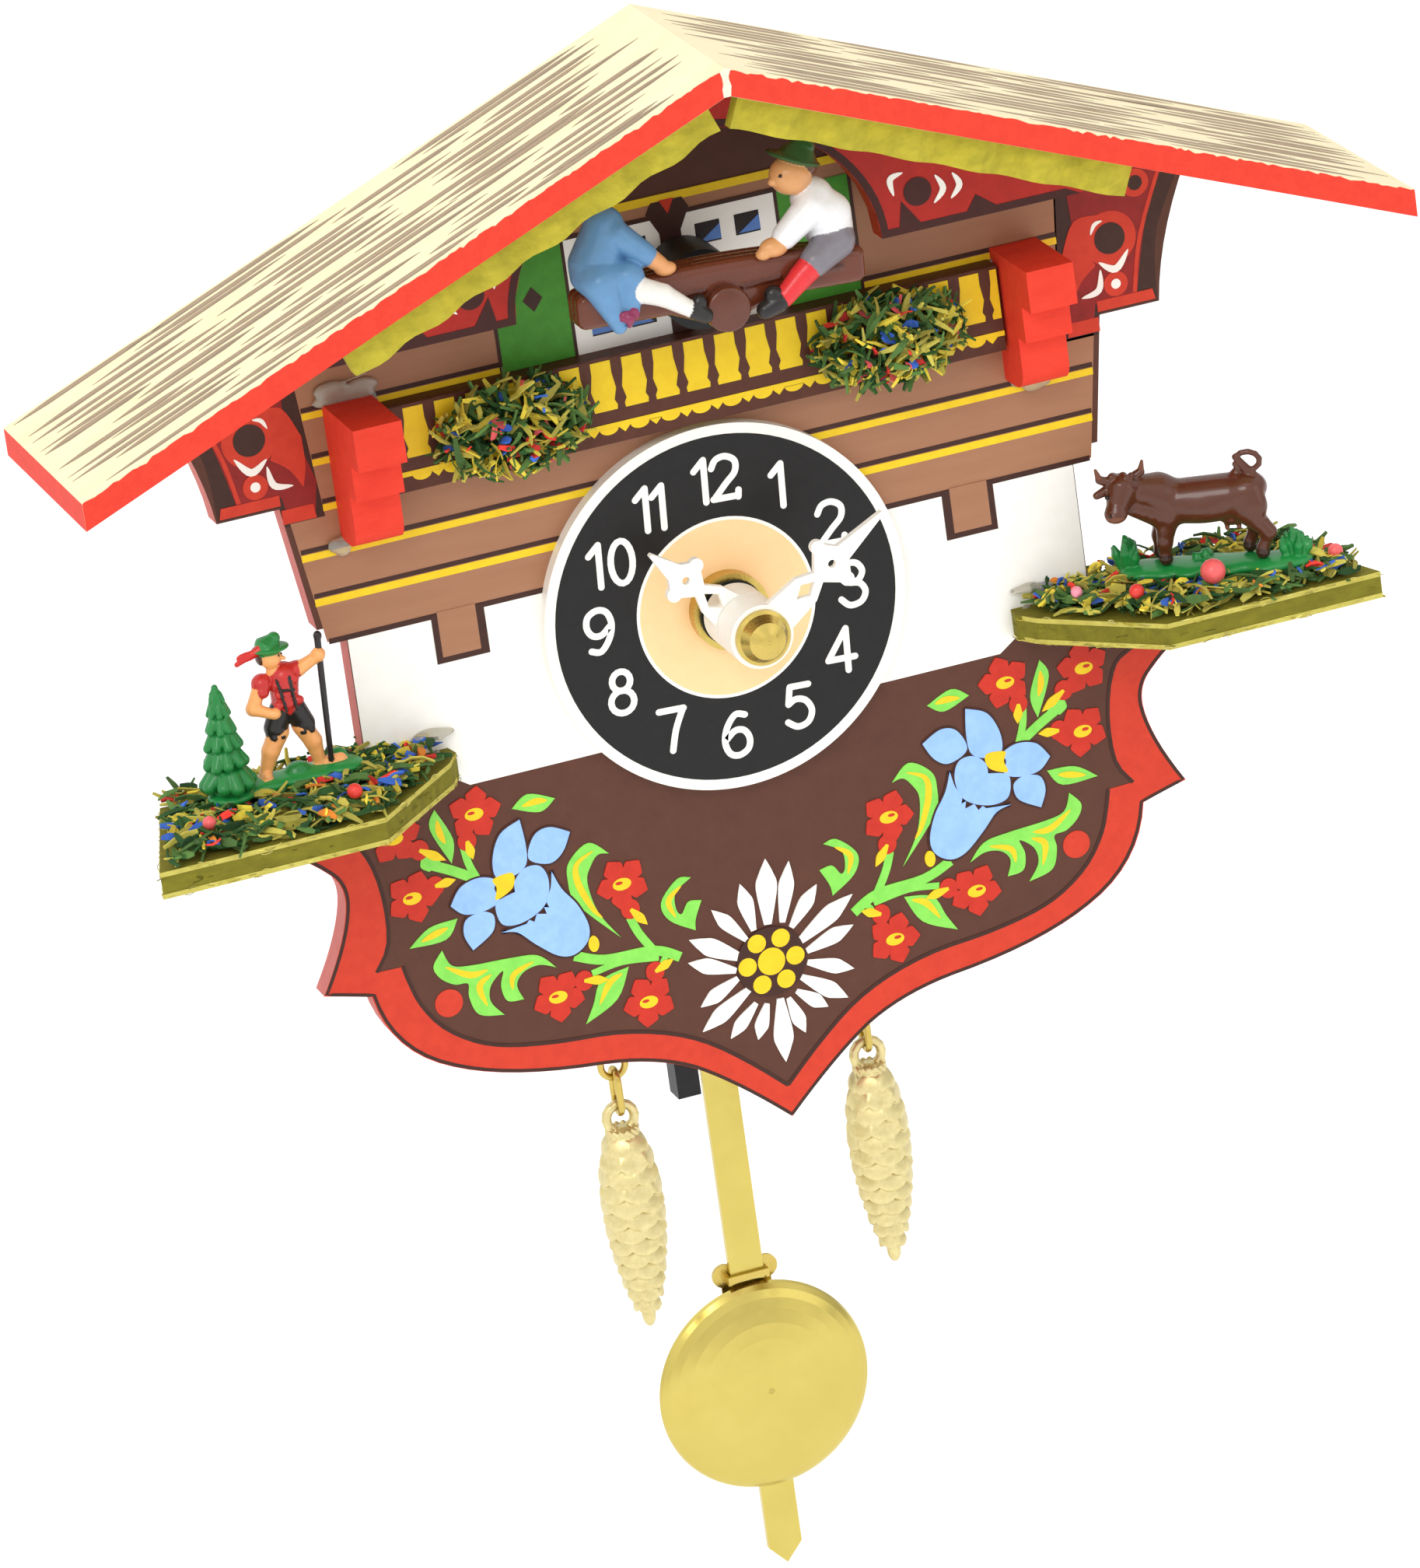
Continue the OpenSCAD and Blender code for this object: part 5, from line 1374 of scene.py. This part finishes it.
    def _edge_strips(self, side: int, name: str) -> None:
        strips = Shape(f"shelf_edges_{name}", OLIVE_PALE, slot="olive_wood")
        outline = [(34.8, -2.2), (36.4, -5.0), (48.0, -17.0), (74.9, -17.0), (68.9, 3.1)]
        for (ax, ay), (bx, by) in zip(outline, outline[1:]):
            far = math.hypot(bx - ax, by - ay)
            nx, ny = (by - ay) / far * 0.06, -(bx - ax) / far * 0.06
            for low, high in ((-12.52, -11.95), (-9.9, -9.32)):
                verts = [(side * (px + k * nx), py + k * ny, z) for z in (low, high) for k in (-1, 1)
                         for px, py in ((ax, ay), (bx, by))]
                strips.add(verts, [(0, 1, 3, 2), (4, 6, 7, 5), (0, 4, 5, 1), (2, 3, 7, 6), (0, 2, 6, 4),
                                   (1, 5, 7, 3)])
        strips.build()

    def _balls(self) -> None:
        clay = Clay("turf_berries", ENAMEL, slot="wood_chips", grid=0.14)
        for place, radius, paint in (((55.6, -13.6, -5.6), 1.5, self.CORAL),
                                     ((46.4, -12.4, -6.2), 0.9, self.RED),
                                     ((40.8, -7.4, -6.4), 0.7, (240, 150, 170)),
                                     ((70.6, -14.6, -6.4), 0.9, self.CORAL),
                                     ((-50.4, -14.4, -6.3), 0.9, self.RED),
                                     ((-67.4, -13.2, -6.3), 0.8, self.CORAL)):
            clay.ball(place, radius, paint, 0.0)
        clay.build()


SKIN: Colour = (244, 172, 104)
SHIRT: Colour = (198, 46, 42)
SHORTS: Colour = (34, 30, 30)
HAT: Colour = (34, 132, 62)
MEADOW: Colour = (30, 138, 64)
TREE: Colour = (28, 126, 58)


class Walker:
    """The hiker with a staff, on a small green base beside a fir tree."""

    def build(self) -> None:
        """Model the hiker and the tree."""
        self._hiker()
        self._tree()

    def _hiker(self) -> None:
        clay = Clay("hiker_figure", ENAMEL, origin=(-54.3, -4.0, -6.86), grid=0.13)
        for x in (-5.2, -2.8, 0.0, 2.6, 5.6):
            clay.ball((x, 0.0, 0.1), (2.5, 2.4, 0.9), MEADOW, 0.6)
        clay.ball((0.3, -0.2, 0.9), (1.5, 1.2, 1.0), TREE, 0.5)
        clay.ball((5.4, 0.9, 1.0), (1.2, 1.0, 1.0), TREE, 0.4)
        clay.limb((-3.5, 0.1, 1.2), (-3.5, -0.9, 1.1), 0.72, 0.6, SKIN)
        clay.limb((-3.4, 0.0, 1.4), (-2.5, -0.1, 3.8), 0.72, 1.05, SKIN)
        clay.limb((-2.5, -0.1, 3.8), (-1.2, 0.0, 5.9), 1.05, 1.25, SKIN)
        clay.limb((3.0, 0.0, 1.0), (5.6, -0.3, 1.0), 0.7, 0.62, SKIN)
        clay.limb((3.1, 0.0, 1.2), (2.6, -0.1, 3.9), 0.7, 1.05, SKIN)
        clay.limb((2.6, -0.1, 3.9), (1.6, 0.0, 6.0), 1.05, 1.2, SKIN)
        clay.limb((-1.5, 0.0, 6.4), (-0.6, 0.0, 8.2), 1.35, 1.4, SHORTS, 0.3)
        clay.limb((1.9, 0.0, 6.2), (1.0, 0.0, 8.2), 1.3, 1.4, SHORTS, 0.3)
        for x in (-2.0, -1.1, 1.5, 2.4):
            clay.ball((x, -0.6, 5.5), (0.5, 0.7, 0.4), SHORTS, 0.2)
        clay.limb((0.1, 0.0, 9.0), (0.3, 0.0, 12.2), 1.55, 1.8, SHIRT, 0.3)
        for x, z in ((-1.0, 9.4), (0.2, 9.3), (1.4, 9.5), (-0.8, 10.6), (0.9, 10.8), (-0.9, 11.9),
                     (1.2, 12.1)):
            clay.ball((x, -1.3, z), (0.6, 0.5, 0.55), SHIRT, 0.25)
        clay.ball((-2.3, -0.1, 12.0), (1.25, 1.2, 1.2), SHIRT, 0.25)
        clay.ball((-2.5, -0.9, 11.2), (0.7, 0.6, 0.7), SHIRT, 0.2)
        clay.ball((1.9, -0.1, 12.8), (1.1, 1.05, 1.0), SHIRT, 0.25)
        for side in (-1, 1):
            clay.limb((-0.2 + 0.75 * side, -1.75, 12.6), (0.3 + 0.6 * side, -1.75, 8.6), 0.17, 0.17, SHORTS,
                      0.05)
        clay.limb((-0.5, -1.75, 11.2), (0.9, -1.75, 11.0), 0.16, 0.16, SHORTS, 0.05)
        clay.limb((-2.9, -0.3, 11.3), (-3.9, -0.5, 9.4), 0.8, 0.8, SKIN)
        clay.limb((-3.9, -0.5, 9.4), (-1.9, -1.5, 8.6), 0.78, 0.6, SKIN)
        clay.ball((-1.6, -1.6, 8.6), 0.6, SKIN)
        clay.limb((2.2, -0.3, 12.8), (4.5, -0.6, 13.9), 0.85, 0.66, SKIN)
        clay.ball((4.6, -0.7, 14.1), 0.85, SKIN)
        clay.limb((4.25, -0.7, 1.4), (4.8, -0.7, 16.2), 0.34, 0.4, SHORTS, 0.05)
        clay.ball((4.85, -0.7, 16.3), (0.5, 0.5, 0.6), SHORTS, 0.1)
        clay.ball((-0.8, -0.1, 13.3), 0.8, SKIN)
        clay.ball((-0.9, -0.2, 14.9), (1.25, 1.25, 1.4), SKIN)
        clay.limb((0.2, -0.6, 14.8), (0.6, -0.7, 14.6), 0.32, 0.22, SKIN, 0.15)
        for x, y in ((0.05, -1.15), (0.55, -0.55)):
            clay.ball((x - 0.15, y, 15.2), 0.15, SHORTS, 0.0)
        clay.ball((-0.1, -1.1, 14.2), (0.3, 0.2, 0.12), SHIRT, 0.0)
        clay.ball((-2.0, 0.1, 15.0), (0.55, 0.9, 0.9), (78, 44, 26), 0.1)
        clay.ball((-0.7, -0.1, 16.0), (2.2, 1.9, 0.42), HAT, 0.12)
        clay.limb((-0.9, 0.0, 16.2), (-0.1, 0.0, 17.0), 1.55, 0.75, HAT, 0.2)
        clay.limb((-2.0, -0.5, 16.3), (-4.9, -0.3, 15.0), 0.5, 0.3, (206, 40, 34), 0.1)
        clay.ball((-3.6, -0.4, 15.7), (1.3, 0.35, 0.55), (206, 40, 34), 0.2)
        piece = clay.build()
        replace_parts(piece, "hiker")

    def _tree(self) -> None:
        clay = Clay("fir_tree_figure", ENAMEL, slot="tree_green", origin=(-62.5, -5.5, -6.86), grid=0.14)
        dice = random.Random(7)
        clay.ball((0.0, 0.0, 0.2), (2.8, 2.6, 0.9), MEADOW, 0.4)
        clay.limb((0.0, 0.0, 0.0), (0.0, 0.0, 11.6), 1.5, 0.5, TREE, 0.3)
        for tier, (height, reach) in enumerate(((1.6, 3.2), (4.1, 2.6), (6.2, 2.2), (8.1, 1.8), (9.9, 1.4),
                                                (11.4, 0.95))):
            clay.limb((0.0, 0.0, height + 2.0), (0.0, 0.0, height + 0.9), 0.4 * reach, 0.72 * reach, TREE,
                      0.15)
            count = 9 - tier // 2
            for k in range(count):
                turn = 2 * math.pi * (k + 0.5 * (tier % 2)) / count + dice.uniform(-0.12, 0.12)
                out = reach * dice.uniform(0.76, 0.86)
                mid = (0.6 * out * math.cos(turn), 0.6 * out * math.sin(turn), height + 1.3)
                tip = (out * math.cos(turn), out * math.sin(turn), height + dice.uniform(0.1, 0.4))
                clay.limb(mid, tip, 0.3 * reach, 0.26 * reach, TREE, 0.12)
        clay.limb((0.0, 0.0, 12.0), (0.05, 0.0, 13.2), 0.5, 0.14, TREE, 0.15)
        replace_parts(clay.build(), "fir_tree")


class Cow:
    """The cow on its strip of meadow."""

    HIDE: Colour = (88, 45, 27)
    PALE: Colour = (112, 62, 38)

    def build(self) -> None:
        """Model the cow and the meadow."""
        clay = Clay("cow_figure", COW_BROWN, slot="cow_brown", origin=(53.0, -6.0, -5.6), turn=-28.6,
                    grid=0.14)
        hide = self.HIDE
        for x, y, top in ((0.0, -1.3, 0.6), (-1.0, 1.5, 0.2), (11.4, -1.2, 10.2), (9.6, 1.5, 9.4)):
            hind = x > 5
            knee = (x + (1.0 if hind else 0.1), y, 2.9 if hind else 2.5)
            clay.limb((x, y, 0.5), (x, y, 0.8), 0.85, 0.74, (58, 32, 22), 0.1)
            clay.limb((x, y, 0.9), knee, 0.68, 0.82, hide)
            clay.limb(knee, (top, y * 0.8, 5.4), 0.86, 1.6 if hind else 1.5, hide, 0.5)
        clay.limb((0.8, 0.1, 7.0), (9.0, 0.1, 7.3), 2.6, 2.7, hide, 0.9)
        clay.ball((5.0, 0.0, 6.3), (4.2, 2.6, 1.9), hide, 0.8)
        clay.ball((0.0, 0.0, 7.6), (2.4, 2.4, 2.7), hide, 0.8)
        clay.ball((10.3, 0.0, 8.1), (2.3, 2.5, 1.9), hide, 0.7)
        clay.ball((10.9, -1.4, 6.4), (1.7, 1.3, 2.1), hide, 0.5)
        clay.limb((-0.4, -0.4, 8.4), (-3.4, -1.9, 9.4), 2.4, 1.8, hide, 0.8)
        clay.limb((-3.0, -2.4, 7.4), (-0.6, -1.2, 5.8), 1.0, 1.2, hide, 0.6)
        clay.limb((-4.0, -2.9, 10.0), (-4.6, -4.1, 8.2), 1.9, 1.25, hide, 0.5)
        clay.ball((-4.7, -4.6, 7.6), (1.4, 1.15, 1.05), hide, 0.4)
        clay.ball((-4.75, -5.0, 7.2), (1.1, 0.9, 0.6), self.PALE, 0.3)
        for k in (-1, 1):
            clay.ball((-4.75 + 0.5 * k, -5.65 + 0.2 * k, 7.75), 0.2, (40, 22, 16), 0.0)
            clay.ball((-4.3 + 1.2 * k, -4.1 + 0.6 * k, 9.7), 0.3, (28, 16, 12), 0.0)
            clay.limb((-4.0 + 1.5 * k, -2.7 + 0.7 * k, 10.2), (-4.0 + 2.8 * k, -2.9 + 1.2 * k, 9.8), 0.65,
                      0.45,
                      hide, 0.15)
            clay.limb((-4.0 + 1.3 * k, -2.6 + 0.6 * k, 11.0), (-4.0 + 2.3 * k, -2.8 + 1.0 * k, 11.6), 0.62,
                      0.5,
                      hide, 0.1)
            clay.limb((-4.0 + 2.3 * k, -2.8 + 1.0 * k, 11.6), (-4.0 + 2.6 * k, -2.9 + 1.1 * k, 12.9), 0.46,
                      0.2,
                      self.PALE, 0.1)
        dice = random.Random(5)
        for _ in range(12):
            clay.ball((-4.0 + dice.uniform(-1.5, 1.5), -3.0 + dice.uniform(-0.6, 0.3),
                       11.4 + dice.uniform(-0.3, 0.3)),
                      dice.uniform(0.36, 0.55), hide, 0.1)
        for k in range(5):
            clay.ball((-2.6 + 0.9 * k, -2.7 + 0.15 * k, 7.4 - 0.5 * k), (0.5, 0.4, 0.8), hide, 0.25)
        clay.limb((8.4, 0.0, 9.0), (9.6, 0.0, 10.8), 0.75, 0.4, hide, 0.4)
        loop = [(10.6 + 1.5 * math.cos(t), -0.1, 11.4 + 1.15 * math.sin(t)) for t in np.linspace(3.4, 8.9,
                                                                                                 10)]
        for a, b in zip(loop, loop[1:]):
            clay.limb(a, b, 0.34, 0.34, hide, 0.05)
        clay.limb(loop[-1], (11.6, -0.2, 8.8), 0.4, 0.75, hide, 0.15)
        clay.ball((8.2, -0.3, 4.7), (1.4, 1.3, 0.9), hide, 0.3)
        for x in (7.5, 8.9):
            clay.limb((x, -0.6, 4.3), (x, -0.7, 3.5), 0.36, 0.26, self.PALE, 0.1)
        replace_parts(clay.build(), "cow")
        self._meadow()

    def _meadow(self) -> None:
        clay = Clay("cow_meadow_strip", ENAMEL, slot="meadow_green", origin=(53.0, -6.0, -6.86), turn=-28.6,
                    grid=0.17)
        dice = random.Random(9)
        for k in range(13):
            clay.ball((-3.4 + 1.5 * k, dice.uniform(-0.7, 0.7), 0.1), (2.4, 2.7, 0.85), MEADOW, 0.6)
        for middle, count, high in ((-4.8, 20, 3.6), (14.9, 20, 3.2), (4.6, 8, 1.3)):
            for _ in range(count):
                turn, far = dice.uniform(0, 2 * math.pi), dice.random()
                lean = Vector((math.cos(turn), math.sin(turn), 0.0)) * far
                base = Vector((middle, 0.0, 0.6)) + lean * 1.1
                tip = Vector((middle, 0.0, 0.8 + high * (1.0 - 0.5 * far))) + lean * 2.1
                clay.limb(tuple(base), tuple(base.lerp(tip, 0.6)), 0.5, 0.55, MEADOW, 0.15)
                clay.limb(tuple(base.lerp(tip, 0.6)), tuple(tip), 0.55, 0.22, TREE, 0.1)
        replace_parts(clay.build(), "cow_meadow")


class Seesaw:
    """The rocking plank with a girl and a boy on it."""

    TILT = 3.0
    AXLE = (0.0, -15.0, 40.8)
    BROWN: Colour = (104, 50, 30)
    BOSS_R = 2.65
    BOSS_FRONT = -19.0
    BOSS_BACK = -16.6

    def build(self) -> None:
        """Model the plank and both riders."""
        self._plank()
        self._girl()
        self._boy()

    def _rider(self, name: str) -> Clay:
        return Clay(name, ENAMEL, "seesaw", "painted_figure", self.AXLE, lean=self.TILT, grid=0.14)

    def _plank(self) -> None:
        clay = Clay("seesaw_plank_body", COW_BROWN, "seesaw", "seesaw_brown", self.AXLE, lean=self.TILT,
                    grid=0.16)
        for k in range(33):
            x = -16.2 + 32.4 * k / 32
            share = (x / 17.0) ** 2
            top = 5.3 - 1.3 * share
            low = -0.1 if abs(x) > 6 else -2.0 + 1.9 * (abs(x) / 6.0) ** 1.5
            for y in (-1.3, 0.0, 1.3):
                clay.limb((x, y, low + 1.05), (x, y, top - 1.05), 1.05, 1.05, self.BROWN, 0.5)
        for x in (-12.0, -4.5, 4.5, 12.0):
            clay.limb((x - 2.2, -2.3, 2.0), (x + 2.2, -2.3, 2.3), 0.3, 0.3, (84, 38, 22), 0.2)
        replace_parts(clay.build(), "seesaw_plank")
        boss = Shape("seesaw_boss", GLOSS_BROWN, "seesaw", "seesaw_brown")
        boss.slab(ring(0.0, self.AXLE[2], self.BOSS_R, sides=48), self.BOSS_FRONT, self.BOSS_BACK)
        boss.build(level=False, bevel=0.35)

    def _girl(self) -> None:
        clay = self._rider("girl_figure")
        dress, pale, heart, tan = (98, 146, 190), (236, 232, 226), (140, 45, 85), (226, 160, 104)
        clay.limb((-14.2, 0.0, 7.0), (-12.8, -0.2, 11.2), 3.0, 2.3, dress, 0.7)
        clay.ball((-13.6, -0.8, 5.6), (3.7, 3.0, 2.2), dress, 0.7)
        clay.limb((-14.4, -2.2, 5.2), (-12.9, -3.2, 0.2), 2.3, 0.9, dress, 0.6)
        clay.limb((-11.2, -2.2, 5.4), (-11.4, -3.2, 1.6), 2.0, 1.0, dress, 0.5)
        clay.ball((-12.4, -4.25, 1.5), (0.75, 0.35, 0.7), heart, 0.05)
        clay.ball((-11.4, -4.2, 1.6), (0.7, 0.35, 0.7), heart, 0.05)
        clay.limb((-11.95, -4.2, 1.2), (-12.0, -4.1, 0.2), 0.75, 0.2, heart, 0.1)
        clay.limb((-10.0, -3.0, 3.9), (-7.6, -3.5, 3.0), 1.5, 1.3, pale, 0.3)
        clay.limb((-7.6, -3.5, 3.0), (-4.6, -3.6, 0.9), 1.3, 0.95, pale, 0.2)
        clay.limb((-4.0, -3.6, 0.7), (-2.9, -3.7, -0.1), 1.15, 0.95, SHORTS, 0.15)
        clay.ball((-3.4, -3.6, 1.4), (0.9, 0.8, 1.0), SHORTS, 0.15)
        clay.limb((-12.0, -1.4, 10.4), (-8.8, -2.0, 7.6), 1.7, 1.35, dress, 0.4)
        clay.limb((-8.8, -2.0, 7.6), (-7.2, -2.1, 6.2), 1.2, 0.95, tan, 0.12)
        clay.ball((-6.6, -2.1, 5.6), (1.3, 0.9, 0.85), tan, 0.2)
        clay.ball((-12.8, 0.2, 15.6), (2.1, 1.9, 2.1), tan, 0.3)
        clay.ball((-13.6, 0.6, 16.0), (2.1, 2.1, 2.0), (196, 150, 70), 0.15)
        clay.ball((-15.0, -0.4, 14.4), 0.7, (196, 150, 70), 0.15)
        clay.ball((-11.3, -1.1, 15.7), 0.2, SHORTS, 0.0)
        clay.ball((-10.8, -0.2, 15.2), (0.45, 0.4, 0.4), tan, 0.1)
        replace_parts(clay.build(), "girl")

    def _boy(self) -> None:
        clay = self._rider("boy_figure")
        tan, shirt, shorts, sock = (222, 160, 104), (240, 240, 242), (126, 122, 130), (222, 48, 54)
        clay.limb((13.6, -0.2, 6.8), (12.0, -0.3, 10.2), 2.9, 2.5, shirt, 0.7)
        clay.ball((13.4, -1.0, 8.4), (2.8, 2.3, 2.5), shirt, 0.5)
        clay.limb((11.4, -1.6, 9.6), (7.8, -2.2, 6.9), 1.95, 1.5, shirt, 0.5)
        clay.ball((6.3, -2.4, 5.9), (1.7, 1.2, 1.15), tan, 0.15)
        clay.ball((5.0, -2.4, 5.3), (0.9, 0.8, 0.7), tan, 0.2)
        clay.limb((14.0, -1.4, 5.2), (10.8, -3.1, 3.6), 2.3, 1.75, shorts, 0.5)
        clay.limb((9.8, -3.3, 2.9), (8.9, -3.4, 2.2), 1.5, 1.4, sock, 0.12)
        clay.limb((8.9, -3.4, 2.2), (6.6, -3.6, 0.2), 1.4, 1.15, sock, 0.12)
        clay.limb((5.9, -3.6, -0.1), (4.3, -3.7, -0.8), 1.3, 1.05, SHORTS, 0.15)
        clay.ball((5.4, -3.6, 0.8), (1.1, 0.95, 1.1), SHORTS, 0.2)
        clay.ball((9.6, -0.5, 13.4), (2.5, 2.2, 2.3), tan, 0.3)
        clay.ball((7.3, -0.9, 13.0), (0.6, 0.5, 0.5), tan, 0.2)
        clay.ball((7.9, -2.1, 13.9), 0.2, SHORTS, 0.0)
        clay.ball((11.0, 0.2, 14.2), (2.0, 2.3, 2.0), (96, 58, 30), 0.15)
        clay.plate((10.2, -0.1, 15.2), (3.3, 2.7, 0.5), (Vector((0.93, 0.0, -0.37)), Vector((0.0, 1.0, 0.0)),
                                                    Vector((0.37, 0.0, 0.93))), (42, 88, 38), 0.15)
        clay.limb((10.9, 0.0, 15.4), (11.4, 0.0, 16.3), 2.2, 1.5, (42, 88, 38), 0.25)
        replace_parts(clay.build(), "boy")


class Weights:
    """The two pine cones with their ropes and rings."""

    HOOKS = {"left": -18.8, "right": 12.6}
    TOP = -64.8
    LOW = -88.8
    WEIGHT_Y = 7.4

    def build(self) -> None:
        """Model both cones."""
        for name, x in self.HOOKS.items():
            self._cone(name, x)

    def _radius(self, share: float) -> float:
        return 3.5 * math.sin(math.pi * min(share * 0.9 + 0.07, 1.0) ** 0.7) ** 0.66

    def _cone(self, name: str, x: float) -> None:
        clay = Clay(f"pine_cone_{name}", ANTIQUE, f"cone_{name}", "gold_plastic",
                    (x, self.WEIGHT_Y, 0.0), grid=0.13)
        high = self.TOP - self.LOW
        tint = ANTIQUE.colour
        for k in range(12):
            share = 0.03 + 0.94 * k / 11
            z = self.TOP - high * share
            clay.ball((0.0, 0.0, z), (self._radius(share) * 0.93,) * 2 + (1.6,), tint, 0.3)
        rows = 13
        for row in range(rows):
            share = 0.04 + 0.86 * row / (rows - 1)
            z = self.TOP - high * share
            radius = self._radius(share)
            count = 6
            lean = 0.32
            for k in range(count):
                turn = 2 * math.pi * (k + 0.5 * (row % 2)) / count
                out = Vector((math.cos(turn), math.sin(turn), 0.0))
                tangent = Vector((-math.sin(turn), math.cos(turn), 0.0))
                up = Vector((0.0, 0.0, 1.0))
                axes = (out * math.cos(lean) + up * math.sin(lean), tangent,
                        up * math.cos(lean) - out * math.sin(lean))
                place = out * radius * 0.88 + up * (z - 0.1)
                clay.plate(tuple(place), (0.2 + 0.07 * radius, 1.12 * math.pi * radius / count + 0.1,
                                         0.5 + 0.32 * radius), axes, tint, 0.04)
        for k in range(2):
            self._rope(clay, self.TOP + 0.5 - 0.75 * k, 1.75 - 0.1 * k, tint)
        clay.ball((0.0, 0.0, self.TOP + 0.3), (1.5, 1.5, 0.9), tint, 0.2)
        centre = -62.6
        loop = [(1.75 * math.cos(t), 0.0, centre + 1.75 * math.sin(t)) for t in np.linspace(0.0, 6.283, 15)]
        for a, b in zip(loop, loop[1:]):
            clay.limb(a, b, 0.58, 0.58, tint, 0.02)
        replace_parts(clay.build(), f"cone_{name}")

    def _rope(self, clay: Clay, z: float, radius: float, tint: Colour) -> None:
        for k in range(14):
            turn = 2 * math.pi * k / 14
            c, s = math.cos(turn), math.sin(turn)
            clay.limb((c * radius - s * 0.3, s * radius + c * 0.3, z - 0.28),
                      (c * radius + s * 0.3, s * radius - c * 0.3, z + 0.28), 0.32, 0.32, tint, 0.06)


class Glue:
    """Clear smears of hot glue where the small parts are stuck on."""

    SPOTS = (
        ((-41.0, -0.8, 36.0), (3.6, 0.7, 1.6)), ((-38.6, -0.7, 34.0), (1.4, 0.6, 2.0)),
        ((41.2, -0.7, 17.6), (2.6, 0.6, 1.0)),
        ((37.4, -0.7, 30.0), (1.0, 0.6, 3.2)), ((-37.6, -0.8, -7.2), (3.4, 1.4, 1.0)),
        ((-36.0, -0.9, -10.6), (1.6, 0.8, 1.8)),
        ((37.8, -0.8, -7.4), (3.0, 1.2, 0.9)), ((36.0, -0.9, -10.8), (1.4, 0.8, 1.6)),
        ((-44.0, -0.8, 17.6), (1.6, 0.6, 1.2)),
    )

    def build(self) -> None:
        """Model every smear as one piece."""
        clay = Clay("glue_smears", GLUE, slot="printed_board", grid=0.18)
        dice = random.Random(3)
        for (x, y, z), (rx, ry, rz) in self.SPOTS:
            for _ in range(5):
                spot = (x + dice.uniform(-0.6, 0.6) * rx, y + 0.3, z + dice.uniform(-0.6, 0.6) * rz)
                clay.ball(spot, (rx * dice.uniform(0.35, 0.6), ry * dice.uniform(0.5, 0.9),
                                 rz * dice.uniform(0.4, 0.7)), GLUE.colour, 0.4)
        clay.limb((-43.0, -0.6, 36.6), (-38.0, -0.9, 37.4), 0.16, 0.1, GLUE.colour, 0.2)
        clay.limb((-43.6, -0.6, 35.0), (-39.4, -1.4, 37.9), 0.12, 0.08, GLUE.colour, 0.2)
        clay.build()


def main() -> None:
    logging.basicConfig(level=logging.INFO)
    dress_cad()
    makers = (Facade(), Gable(), Roof(), Dial(), Greenery(), Walker(), Cow(), Seesaw(), Weights(), Glue(),
              Studio())
    for maker in makers:
        maker.build()
        LOG.info("built %s", type(maker).__name__)
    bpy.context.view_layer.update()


if __name__ == "__main__":
    main()
